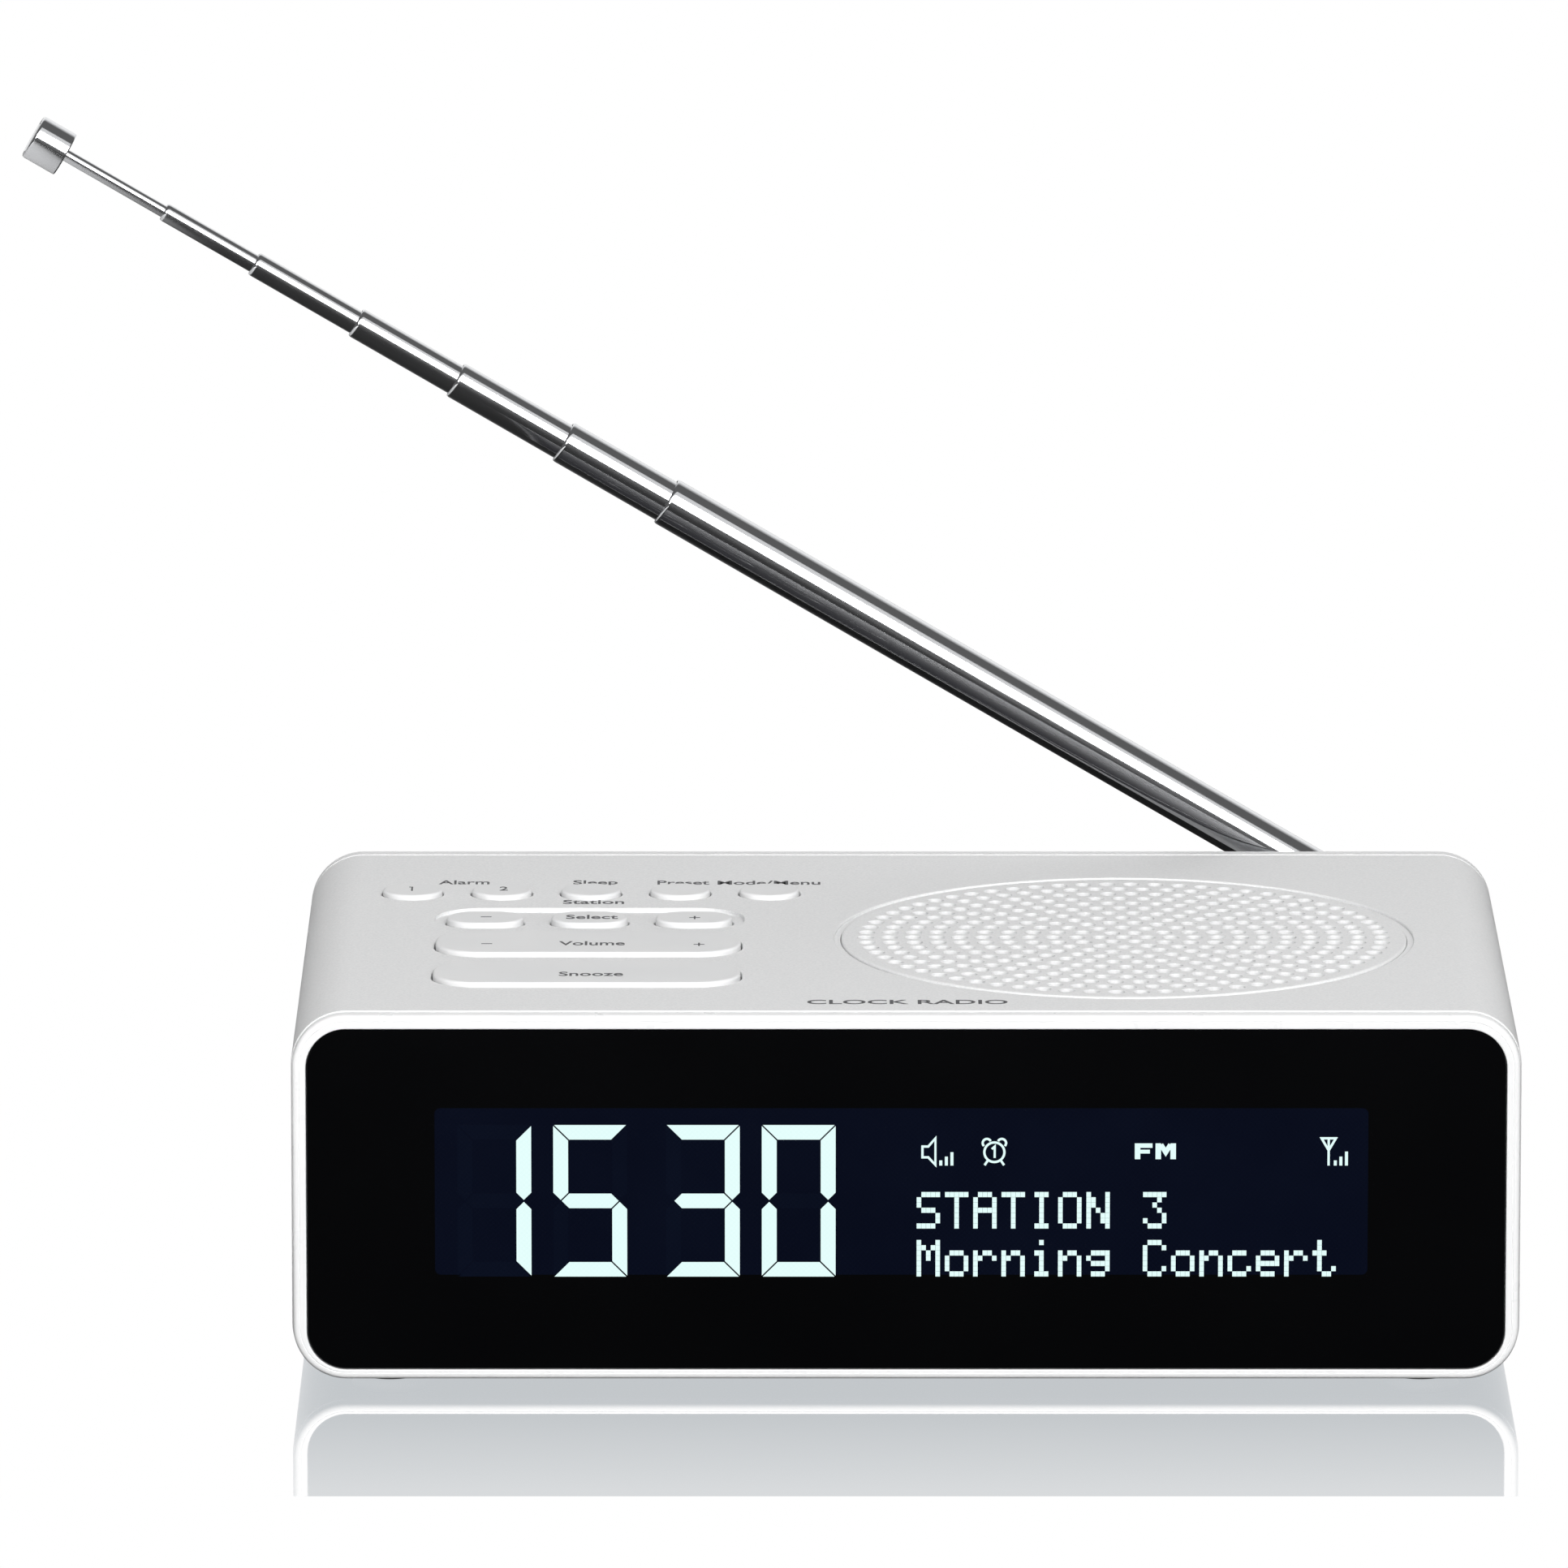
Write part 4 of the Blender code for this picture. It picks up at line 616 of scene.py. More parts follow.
def flared_cutter(outline_at, low, surface, rim, facing="Z", past=0.6 * MM):
    """A cutter that goes from low to past the surface. outline_at(grow) gives its outline."""
    out = 1 if surface > low else -1
    profile = [(0.0, low), *over_edge(0.0, surface, rim, 4, 1, -out), (rim, surface + out * past)]
    return skin("cutter", stacked(outline_at, profile, facing), "cabinet_white")


print("cutting helper ready")

# %% [markdown]
# ## Where the controls are
# The frame gives each control's box. A key's box includes the flange that keeps it in the
# cabinet, so the cap's own size is the box less that flange on each side.

# %% Read the controls from the frame
FLANGE = 1.0 * MM
FLANGE_THICK = 1.2 * MM
KEY_GAP = 0.25 * MM
TRIM, ROUND_TRIM, CAP_SUNK = 0.15 * MM, 0.35 * MM, 0.12 * MM
KEY_ROUND = 0.4 * MM
ROUND_KEYS = ["alarm_1", "alarm_2", "sleep", "preset", "mode"]
OVAL_KEYS = ["station_down", "select", "station_up"]
PILL_CORNER = 7.2 * MM
shell_low, shell_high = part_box("cabinet_shell")
top_z = shell_high.z
width = shell_high.x - shell_low.x
height = shell_high.z - shell_low.z
WALL = 2.2 * MM
CABINET_CORNER = 8.5 * MM

controls = {}
for key in ROUND_KEYS + OVAL_KEYS + ["snooze", "volume"]:
    node = "volume_rocker" if key == "volume" else key + "_button"
    low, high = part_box(node)
    across = high.x - low.x - 2 * FLANGE
    deep = across if key in ROUND_KEYS else high.y - low.y - 2 * FLANGE
    if key == "volume":
        deep = controls["snooze"]["deep"]
    corner = PILL_CORNER if key in ("snooze", "volume") else deep / 2
    controls[key] = {"node": node, "middle": face_middle(node, "Z"), "across": across,
                     "deep": deep, "corner": corner, "low": low.z, "top": high.z - CAP_SUNK}


def key_outline(key, grow):
    one = controls[key]
    grow -= ROUND_TRIM if key in ROUND_KEYS else TRIM
    return rounded_outline(one["across"] + 2 * grow, one["deep"] + 2 * grow, one["corner"] + grow,
                           one["middle"])


for key, one in controls.items():
    print(key, "cap in mm:", round(one["across"] / MM, 2), "x", round(one["deep"] / MM, 2))

# %% [markdown]
# ## The cabinet
# The real cabinet is one moulding: a sleeve with a rounded rectangular section, 2.2 mm thick.
# It is skinned from six rings, with a small round at both ends where it meets the front frame
# and the rear cover. The station keys sit in a shallow scoop, deepest at its back wall and
# running out to nothing at the front. Key openings in the scoop follow its slope.

# %% The sleeve
def section(inset):
    """The cabinet's cross-section seen from the front, set in by a distance."""
    return rounded_outline(width - 2 * inset, height - 2 * inset, CABINET_CORNER - inset,
                           (0.0, shell_low.z + height / 2))


END_ROUND = 0.25 * MM
sleeve = over_edge(0.0, shell_low.y, END_ROUND, grow=1, into=1)[::-1]
sleeve += over_edge(0.0, shell_high.y, END_ROUND, grow=1)
sleeve += [(WALL, shell_high.y), (WALL, shell_low.y)]
cabinet = skin("cabinet", stacked(section, sleeve, "Y"), "cabinet_white", hollow=True)
print("sleeve faces:", len(cabinet.data.polygons))

# %% The scoop and the openings
SCOOP_DEEP, SCOOP_WIDE, SCOOP_LONG, SCOOP_CORNER = 0.8 * MM, 49.0 * MM, 17.6 * MM, 7.9 * MM
SCOOP_FORWARD = 1.7 * MM
SCOOP_EDGE = ((-0.25 * MM, 0.0), (-0.07 * MM, 0.07 * MM), (0.0, 0.25 * MM))
SCOOP_LIFT, SCOOP_PAST = 0.02 * MM, 0.5 * MM
RIM = 0.16 * MM
PAST_WALL, BEYOND = 0.5 * MM, 1.0 * MM
select_x, select_y = controls["select"]["middle"]
scoop_y = select_y + SCOOP_FORWARD
scoop_front = scoop_y - SCOOP_LONG / 2


def scoop_floor(y):
    """The scoop's surface at a distance back, level with the top outside the scoop."""
    share = min(max((y - scoop_front) / SCOOP_LONG, 0.0), 1.0)
    return top_z - SCOOP_DEEP * share


def scoop_outline(grow):
    return rounded_outline(SCOOP_WIDE + 2 * grow, SCOOP_LONG + 2 * grow, SCOOP_CORNER + grow,
                           (select_x, scoop_y))


def scoop_cutter():
    bottom = top_z - SCOOP_DEEP
    profile = [(grow, bottom + lift) for grow, lift in SCOOP_EDGE]
    profile += [(0.0, top_z), (0.0, top_z + BEYOND)]
    cutter = skin("scoop", stacked(scoop_outline, profile), "cabinet_white")
    for vertex in cutter.data.vertices:
        if vertex.co.z < top_z - TINY:
            floor_here = scoop_floor(vertex.co.y) + SCOOP_LIFT
            vertex.co.z = min(floor_here + vertex.co.z - bottom, top_z + SCOOP_PAST)
    return cutter


cutters = [scoop_cutter()]
for key in controls:
    cutter = flared_cutter(lambda grow, key=key: key_outline(key, KEY_GAP + grow),
                           top_z - WALL - PAST_WALL, top_z, RIM)
    if key in OVAL_KEYS:
        for vertex in cutter.data.vertices:
            if vertex.co.z > top_z - WALL:
                vertex.co.z += scoop_floor(vertex.co.y) - top_z
    cutters.append(cutter)
cut_away(cabinet, cutters)
print("openings cut:", len(cutters))

# %% The grille's seat and the pockets for the feet
WIDE_COUNT = 240
GROOVE, GROOVE_DEEP, GROOVE_RIM = 1.05 * MM, 0.45 * MM, 0.25 * MM
LEDGE = 3.0 * MM
SEAT_GAP = 0.1 * MM
SHELF_WIDER, SHELF_THICK, SHELF_OVERLAP = 1.5 * MM, 0.9 * MM, 0.2 * MM
FOOT_POCKET = 1.0 * MM
grille_low, grille_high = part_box("speaker_grille")
grille_middle = face_middle("speaker_grille", "Z")
disc_radius = (grille_high.x - grille_low.x) / 2
seat_z = grille_low.z - KEY_GAP
groove_radius = disc_radius + GROOVE


def grille_circle(radius):
    return circle_outline(radius, grille_middle, WIDE_COUNT)


def round_block(name, radius, *heights):
    """A plain cylinder about the grille's middle, to cut with or to add."""
    rings = stacked(grille_circle, [(radius, height) for height in heights])
    return skin(name, rings, "cabinet_white")


opening = flared_cutter(lambda grow: grille_circle(groove_radius + grow), top_z - GROOVE_DEEP,
                        top_z, GROOVE_RIM)
pocket = round_block("pocket", disc_radius + SEAT_GAP, seat_z, top_z - GROOVE_DEEP + SEAT_GAP)
shelf = round_block("shelf", groove_radius + SHELF_WIDER, top_z - WALL - SHELF_THICK,
                    top_z - WALL + SHELF_OVERLAP)
throat = round_block("throat", groove_radius - LEDGE, top_z - 2 * WALL, top_z + BEYOND)
feet = ["front_left", "front_right", "rear_left", "rear_right"]
pockets = []
for foot in feet:
    low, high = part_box("foot_" + foot)
    middle, reach = face_middle("foot_" + foot, "Z"), (high.x - low.x) / 2 + KEY_GAP
    pockets.append(flared_cutter(lambda grow, middle=middle, reach=reach:
                                 circle_outline(reach + grow, middle), FOOT_POCKET, 0.0, RIM))
cut_away(cabinet, [shelf], "UNION")
cut_away(cabinet, [opening, pocket, throat, *pockets])
settle(cabinet, "cabinet", "white_plastic", "cabinet_shell")
print("cabinet triangles:", triangles(cabinet))

# %% [markdown]
# ## The front frame
# The frame is a picture frame that plugs into the cabinet: a bright rounded rim, a pocket for
# the lens, a panel with the display's window and a skirt behind. All of that is rounded
# rectangles one behind the other, so a single hollow skin makes it, with no Boolean.

# %% Skin the front frame
frame_low, frame_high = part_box("front_frame")
lens_low, lens_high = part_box("front_lens")
glass_low, glass_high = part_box("lcd_glass")
FRAME_ROUND = 0.8 * MM
FRAME_STEP = frame_low.z - shell_low.z
LIP_DEPTH = 2.5 * MM
LENS_GAP = 0.3 * MM
BEZEL_GAP = 0.12 * MM
SKIRT_WALL = 1.6 * MM
GLASS_EDGE, WINDOW_CORNER = 2.2 * MM, 1.2 * MM
LENS_SIDE, LENS_BELOW, LENS_ABOVE = 2.45 * MM, 1.85 * MM, 2.5 * MM
POCKET_ROUND = 0.2 * MM
FINE_GROOVE = ((1.15, 0.0), (1.2, 0.10), (1.3, 0.10), (1.35, 0.0))
SKIRT_OUT, SKIRT_IN = WALL + LENS_GAP, WALL + LENS_GAP + SKIRT_WALL
lip_back = frame_low.y + LIP_DEPTH
panel_front = lens_high.y + LENS_GAP
panel_back = glass_low.y - LENS_GAP
window_wide = glass_high.x - glass_low.x - 2 * GLASS_EDGE
window_high = glass_high.z - glass_low.z - 2 * GLASS_EDGE
window = rounded_outline(window_wide, window_high, WINDOW_CORNER, face_middle("lcd_glass"))


def lens_outline(inset):
    """The lens seen from the front. It sits a little low in the frame."""
    tall = height - LENS_BELOW - LENS_ABOVE
    return rounded_outline(width - 2 * (LENS_SIDE + inset), tall - 2 * inset,
                           CABINET_CORNER - LENS_SIDE - inset,
                           (0.0, shell_low.z + LENS_BELOW + tall / 2))


rim_profile = [(SKIRT_OUT, lip_back), (FRAME_STEP, lip_back)]
rim_profile += over_edge(FRAME_STEP, frame_low.y, FRAME_ROUND, 6, grow=1, into=1)
rim_profile += [(inset * MM, frame_low.y + sunk * MM) for inset, sunk in FINE_GROOVE]
pocket_profile = over_edge(-BEZEL_GAP, frame_low.y, POCKET_ROUND, 4, into=1)[::-1]
pocket_profile.append((-BEZEL_GAP, panel_front))
skirt_profile = [(SKIRT_IN, panel_back), (SKIRT_IN, frame_high.y), (SKIRT_OUT, frame_high.y)]
rings = stacked(section, rim_profile, "Y") + stacked(lens_outline, pocket_profile, "Y")
rings += [level(window, panel_front, "Y"), level(window, panel_back, "Y")]
rings += stacked(section, skirt_profile, "Y")
front_rim = skin("front_rim", rings, "frame_white", hollow=True)
settle(front_rim, "cabinet", "white_frame", "front_frame")
print("window in mm:", round(window_wide / MM, 1), "x", round(window_high / MM, 1))

# %% [markdown]
# ## The lens
# The lens is a plate with a polished chamfer round its front edge. The chamfer is the thin
# light line that separates the black from the white frame.

# %% Skin the lens
CHAMFER, BACK_CHAMFER = 0.12 * MM, 0.1 * MM
profile = [(BACK_CHAMFER, lens_high.y), (0.0, lens_high.y - BACK_CHAMFER),
           (0.0, lens_low.y + CHAMFER), (CHAMFER, lens_low.y)]
lens = skin("black_lens", stacked(lens_outline, profile, "Y"), "black_lens")
settle(lens, "cabinet", "black_lens", "front_lens")
print("lens thickness in mm:", round((lens_high.y - lens_low.y) / MM, 2))

# %% [markdown]
# ## The display
# The display is a single liquid-crystal panel with three kinds of marks: four seven-segment
# digits, small icons, and two lines of five-by-seven dot characters. All of them are thin flat
# shapes, so one helper turns lists of polygons into one mesh with a little thickness, laid
# against the lens. The segments that are not lit are still faintly there, as on a real panel.

# %% Flat marks on the front
MARK_THICK, FILM_THICK = 0.03 * MM, 0.01 * MM
LIT_LIFT, UNLIT_LIFT = 0.015 * MM, 0.012 * MM


def flat_marks(name, polygons, finish, lift=0.0, thick=MARK_THICK):
    """Thin plates on the lens, from polygons in X and Z."""
    form = bmesh.new()
    for polygon in polygons:
        back = lens_low.y - lift
        add_form(form, [level(polygon, back, "Y"), level(polygon, back - thick, "Y")])
    piece = finish_mesh(name, form, finish, smooth=False)
    settle(piece, "cabinet", "display_glass" if lift == 0 else "diffuser")


def ribbon_of(points, thick):
    """Polygons along a path: one four-sided plate for each stretch, mitred at the bends."""
    closed = math.dist(points[0], points[-1]) < TINY
    sides = []
    for index, point in enumerate(points):
        before = points[index - 1] if index else (points[-2] if closed else point)
        last = index == len(points) - 1
        after = points[index + 1] if not last else (points[1] if closed else point)
        first = Vector((point[0] - before[0], point[1] - before[1]))
        second = Vector((after[0] - point[0], after[1] - point[1]))
        first = first.normalized() if first.length else second.normalized()
        second = second.normalized() if second.length else first
        heading = (first + second).normalized()
        across = Vector((-heading.y, heading.x)) * thick / 2 / max(heading.dot(first), 0.4)
        sides.append(((point[0] - across.x, point[1] - across.y),
                      (point[0] + across.x, point[1] + across.y)))
    return [(a[0], b[0], b[1], a[1]) for a, b in zip(sides, sides[1:])]


def arc_points(centre, radius, start, end, steps=20):
    angles = [math.radians(start + (end - start) * step / steps) for step in range(steps + 1)]
    return [(centre[0] + radius * math.cos(a), centre[1] + radius * math.sin(a)) for a in angles]


FIELD_LEFT, FIELD_RIGHT, FIELD_LOW, FIELD_HIGH = -72.8 * MM, 71.3 * MM, 16.8 * MM, 43.15 * MM
FIELD_CORNER = 0.9 * MM
field = rounded_outline(FIELD_RIGHT - FIELD_LEFT, FIELD_HIGH - FIELD_LOW, FIELD_CORNER,
                        ((FIELD_LEFT + FIELD_RIGHT) / 2, (FIELD_LOW + FIELD_HIGH) / 2))
flat_marks("display_field", [field], "navy_field", thick=FILM_THICK)
print("field in mm:", round((FIELD_RIGHT - FIELD_LEFT) / MM, 1), "x",
      round((FIELD_HIGH - FIELD_LOW) / MM, 1))

# %% The seven segments
DIGIT_LOW, DIGIT_TALL, DIGIT_WIDE, BAR = 16.5 * MM, 24.0 * MM, 11.4 * MM, 2.3 * MM
HAIR = 0.16 * MM
DIGIT_LEFTS = [-69.3 * MM, -54.5 * MM, -37.1 * MM, -22.3 * MM]
SEGMENTS_LIT = {"1": "bc", "5": "afgcd", "3": "abgcd", "0": "abcdef"}


def segment(letter, left):
    """One of the seven bars of a digit, with mitred ends and a hair's gap to the next."""
    right, low, high = left + DIGIT_WIDE, DIGIT_LOW, DIGIT_LOW + DIGIT_TALL
    middle, half = low + DIGIT_TALL / 2, BAR / 2
    inner_left, inner_right = left + BAR, right - BAR
    bar = [(left + HAIR, high), (right - HAIR, high), (inner_right - HAIR, high - BAR),
           (inner_left + HAIR, high - BAR)]
    shapes = {
        "a": bar, "d": [(x, 2 * middle - z) for x, z in bar],
        "g": [(left + half + HAIR, middle), (inner_left + HAIR, middle + half),
              (inner_right - HAIR, middle + half), (right - half - HAIR, middle),
              (inner_right - HAIR, middle - half), (inner_left + HAIR, middle - half)],
    }
    for name, outer, inner in (("f", left, inner_left), ("b", right, inner_right)):
        tip, inner_low = middle + HAIR, middle + half + HAIR
        upper = [(outer, high - HAIR), (inner, high - BAR - HAIR), (inner, inner_low),
                 ((outer + inner) / 2, tip), (outer, inner_low)]
        shapes[name] = upper
        shapes[{"f": "e", "b": "c"}[name]] = [(x, 2 * middle - z) for x, z in upper]
    return shapes[letter]


lit, unlit = [], []
for digit, left in zip("1530", DIGIT_LEFTS):
    for letter in "abcdefg":
        (lit if letter in SEGMENTS_LIT[digit] else unlit).append(segment(letter, left))
flat_marks("clock_digits", lit, "lit_segment", LIT_LIFT)
flat_marks("unlit_segments", unlit, "ghost_segment", UNLIT_LIFT, FILM_THICK)
print("segments lit:", len(lit), "unlit:", len(unlit))

# %% The dot characters
DOTS = {
    "S": "0F10100E01011E", "T": "1F040404040404", "A": "0E11111F111111", "I": "0E04040404040E",
    "O": "0E11111111110E", "N": "11191915131311", "3": "1F02040201110E", "M": "111B1515111111",
    "o": "00000E1111110E", "r": "00001619101010", "n": "00001619111111", "i": "04000C0404040E",
    "g": "00000F110F010E", "C": "0E11101010110E", "c": "00000E1010110E", "e": "00000E111F100E",
    "t": "08081C08080906", " ": "00000000000000",
}
TEXT_LEFT, UPPER_LINE, LOWER_LINE = 1.62 * MM, 29.9 * MM, 22.3 * MM
LETTER_PITCH, DOT_WIDE, DOT_TALL, DOT_GAP = 4.37 * MM, 0.728 * MM, 0.83 * MM, 0.03 * MM


def plate_at(left, low, wide, tall):
    return [(left, low), (left + wide, low), (left + wide, low + tall), (left, low + tall)]


def dot_line(words, top):
    """Dot characters: each row of a letter is two hexadecimal figures, one bit for each dot."""
    plates = []
    for place_in_line, letter in enumerate(words):
        for row in range(7):
            bits = int(DOTS[letter][2 * row:2 * row + 2], 16)
            for column in range(5):
                if bits & (16 >> column):
                    x = TEXT_LEFT + place_in_line * LETTER_PITCH + column * DOT_WIDE
                    z = top - row * DOT_TALL
                    plates.append(plate_at(x, z, DOT_WIDE - DOT_GAP, DOT_GAP - DOT_TALL))
    return plates


dots = dot_line("STATION 3", UPPER_LINE) + dot_line("Morning Concert", LOWER_LINE)
flat_marks("station_text", dots, "lit_segment", LIT_LIFT)
print("dots lit:", len(dots))

# %% The icons
LINE, BELL_RADIUS, STROKE = 0.36, 0.66, 0.85
BAR_WIDE, BAR_PITCH = 0.46 * MM, 0.86 * MM
BAND_LOW, BAND_HIGH = 35.1, 37.6


def bars_icon(left, low, heights):
    return [plate_at(left * MM + place * BAR_PITCH, low * MM, BAR_WIDE, tall * MM)
            for place, tall in enumerate(heights)]


def mm_points(*pairs):
    return [(x * MM, z * MM) for x, z in pairs]


def line_icon(thick, *pairs):
    """A line of even width through points given in millimetres."""
    return ribbon_of(mm_points(*pairs), thick * MM)


def bow_icon(x, z, radius, start, end, steps):
    centre = mm_points((x, z))[0]
    return ribbon_of(arc_points(centre, radius * MM, start, end, steps), LINE * MM)


icons = line_icon(LINE, (2.5, 35.4), (3.4, 35.4), (4.5, 34.2), (4.5, 38.4), (3.4, 37.1),
                  (2.5, 37.1), (2.5, 35.4))
icons += bars_icon(5.1, 34.1, (0.8, 1.4, 2.1))
icons += bow_icon(13.6, 36.2, 1.55, 0, 360, 32)
icons += bow_icon(12.45, 37.65, BELL_RADIUS, 28, 225, 10)
icons += bow_icon(14.75, 37.65, BELL_RADIUS, -45, 152, 10)
icons += line_icon(LINE, (12.6, 34.9), (12.1, 34.15))
icons += line_icon(LINE, (14.6, 34.9), (15.1, 34.15))
icons += line_icon(0.34, (13.2, 36.7), (13.65, 37.1), (13.65, 35.3))
icons += line_icon(STROKE, (35.7, BAND_LOW), (35.7, BAND_HIGH))
icons += line_icon(0.7, (36.1, BAND_HIGH - 0.35), (38.0, BAND_HIGH - 0.35))
icons += line_icon(0.6, (36.1, 36.3), (37.6, 36.3))
icons += line_icon(STROKE, (38.9, BAND_LOW), (38.9, BAND_HIGH))
icons += line_icon(0.75, (39.3, BAND_HIGH - 0.2), (40.05, 36.2), (40.8, BAND_HIGH - 0.2))
icons += line_icon(STROKE, (41.2, BAND_LOW), (41.2, BAND_HIGH))
icons += line_icon(LINE, (65.2, 34.1), (65.2, 38.5))
icons += line_icon(LINE, (64.1, 38.4), (65.2, 36.5), (66.3, 38.4), (64.1, 38.4))
icons += bars_icon(66.0, 34.1, (0.8, 1.4, 2.2))
flat_marks("status_icons", icons, "lit_segment", LIT_LIFT)
print("icon plates:", len(icons))

# %% [markdown]
# ## The keys
# Each key is a cap with a rounded top edge, a flange below that holds it in, and stems that
# press a silicone mat. The cap and its flange are one skin. The stems are separate turned
# forms in the same mesh. The volume key rocks on a pin, so its flange sits lower.

# %% Make a key
STEM_RADIUS, STEM_CHAMFER, STEM_COUNT = 1.5 * MM, 0.3 * MM, 24
STEM_SPREAD, STEM_LONG, STEM_INTO = 16 * MM, 2 * MM, 0.4 * MM
FLANGE_EASE = 0.15 * MM
FLAT_INSET = 0.2 * MM
FLANGE_PLAY = 0.3 * MM
flange_top = top_z - WALL - FLANGE_PLAY
ROCKER_DROP = 0.7 * MM


def make_key(key):
    one = controls[key]
    flange_high = flange_top - (ROCKER_DROP if key == "volume" else 0.0)
    flange_low = flange_high - FLANGE_THICK
    eased = FLANGE - FLANGE_EASE
    profile = [(eased, flange_low), (FLANGE, flange_low + FLANGE_EASE),
               (FLANGE, flange_high - FLANGE_EASE), (eased, flange_high), (0.0, flange_high),
               *over_edge(0.0, one["top"], KEY_ROUND, 6), (-KEY_ROUND - FLAT_INSET, one["top"])]
    cap = skin(key + "_key", stacked(lambda grow: key_outline(key, grow), profile), "key_white")
    x, y = one["middle"]
    spread = (-STEM_SPREAD, STEM_SPREAD) if one["across"] >= 2 * STEM_SPREAD else (0.0,)
    form = bmesh.new()
    form.from_mesh(cap.data)
    discard(cap)
    stem_low = min(one["low"], flange_low - STEM_LONG)
    stem = [(STEM_RADIUS - STEM_CHAMFER, stem_low), (STEM_RADIUS, stem_low + STEM_CHAMFER),
            (STEM_RADIUS, flange_low + STEM_INTO)]
    for aside in spread:
        add_form(form, circles(stem, (x + aside, y), count=STEM_COUNT))
    return settle(finish_mesh(key + "_key", form, "key_white"), key, "white_plastic", one["node"])


keys = {key: make_key(key) for key in controls}
print("keys made:", sorted(keys))

# %% [markdown]
# ## The printed labels
# Pad-printed words are a few hundredths of a millimetre of ink. A text curve gives their
# shapes; it is made a mesh, fitted to the width and cap height that the print has, and laid
# on the surface. A word on a key rides on that key, so that it moves when the key is pressed.
# Every word is the plain name of a function.

# %% Print the words
INK_THICK, INK_SUNK = 0.03 * MM, 0.01 * MM
CAP_HEIGHT = 3.0 * MM
CAP_SHARE = 0.729


def print_words(name, words, middle_x, baseline_y, wide, body):
    """Words laid on a piece's top, centred on X, fitted to a width and the cap height."""
    curve = bpy.data.curves.new(name, "FONT")
    curve.body = words
    curve.align_x = "CENTER"
    curve.resolution_u = 4
    curve.extrude = 0.02
    curve.offset = 0.012
    guide = bpy.data.objects.new(name, curve)
    bpy.context.scene.collection.objects.link(guide)
    bpy.context.view_layer.update()
    mesh = plain_mesh(guide)
    discard(guide)
    xs = [vertex.co.x for vertex in mesh.vertices]
    middle, scale_x = (max(xs) + min(xs)) / 2, wide * MM / (max(xs) - min(xs))
    scale_y = CAP_HEIGHT / CAP_SHARE
    surface_z = top_z if body == "cabinet" else controls[body]["top"]
    for vertex in mesh.vertices:
        x, y, z = vertex.co
        vertex.co = (middle_x * MM + (x - middle) * scale_x, baseline_y * MM + y * scale_y,
                     surface_z + (INK_THICK if z > 0 else -INK_SUNK))
    form = bmesh.new()
    form.from_mesh(mesh)
    settle(finish_mesh(name, form, "label_ink", smooth=False), body, "grey_plastic")


LABELS = [
    ("label_alarm", "Alarm", -69.95, 35.6, 8.1, "cabinet"),
    ("label_sleep", "Sleep", -48.98, 35.6, 7.1, "cabinet"),
    ("label_preset", "Preset", -34.94, 35.4, 8.3, "cabinet"),
    ("label_mode", "Mode/Menu", -21.27, 35.3, 16.4, "cabinet"),
    ("label_station", "Station", -49.12, 20.4, 9.7, "cabinet"),
    ("label_select", "Select", -49.2, 5.3, 8.2, "select"),
    ("label_volume", "Volume", -49.0, -14.6, 10.3, "volume"),
    ("label_snooze", "Snooze", -48.9, -37.4, 10.0, "snooze"),
    ("label_two", "2", -63.5, 27.0, 1.3, "alarm_2"),
    ("label_maker", "CLOCK RADIO", 0.2, -54.4, 31.0, "cabinet"),
]
for label in LABELS:
    print_words(*label)
SIGNS = [("sign_station_down", "minus", -65.93, 6.8, "station_down"),
         ("sign_station_up", "plus", -32.98, 6.2, "station_up"),
         ("sign_volume_down", "minus", -65.5, -13.5, "volume"),
         ("sign_volume_up", "plus", -32.2, -14.0, "volume"),
         ("label_one", "one", -78.1, 28.3, "alarm_1")]
print("words printed:", len(LABELS))

# %% Print the signs and the figure 1
SIGN_WIDE, SIGN_TALL, SIGN_BAR = 1.7 * MM, 2.2 * MM, 0.34 * MM
SIGN_STROKE, FLAG_WIDE = 0.28 * MM, 0.34 * MM


def print_sign(name, kind, x, y, body):
    """A sign is a bar; a plus adds a stroke above and below it. A figure 1 is a stem and a flag."""
    surface_z = controls[body]["top"]
    plates = [(SIGN_WIDE, SIGN_BAR, 0.0, 0.0)]
    if kind == "plus":
        reach = (SIGN_TALL - SIGN_BAR) / 2
        plates += [(SIGN_STROKE, reach, 0.0, side * (SIGN_BAR + reach) / 2) for side in (-1, 1)]
    if kind == "one":
        flag_aside = -(SIGN_STROKE + FLAG_WIDE) / 2
        plates = [(SIGN_STROKE, CAP_HEIGHT, 0.0, 0.0),
                  (FLAG_WIDE, SIGN_BAR, flag_aside, (CAP_HEIGHT - SIGN_BAR) / 2)]
    form = bmesh.new()
    for across, deep, aside, shift in plates:
        plate = plate_at(x * MM + aside - across / 2, y * MM + shift - deep / 2, across, deep)
        add_form(form, [level(plate, surface_z - INK_SUNK), level(plate, surface_z + INK_THICK)])
    settle(finish_mesh(name, form, "label_ink", smooth=False), body, "grey_plastic")


for sign in SIGNS:
    print_sign(*sign)
print("signs printed:", len(SIGNS))

# %% [markdown]
# ## The speaker grille
# The grille is a disc with one hole in its middle and eleven rings round it, the first with
# six holes and each one after with six more. That is a rule, so Geometry Nodes makes it: hole
# number i lies in ring k = ceil((sqrt(1 + 4 i / 3) - 1) / 2), and its place in the ring gives
# its angle. A countersunk cutter is instanced on every point, the instances are realized, and
# one Boolean cuts them all. The result is turned into a plain mesh.

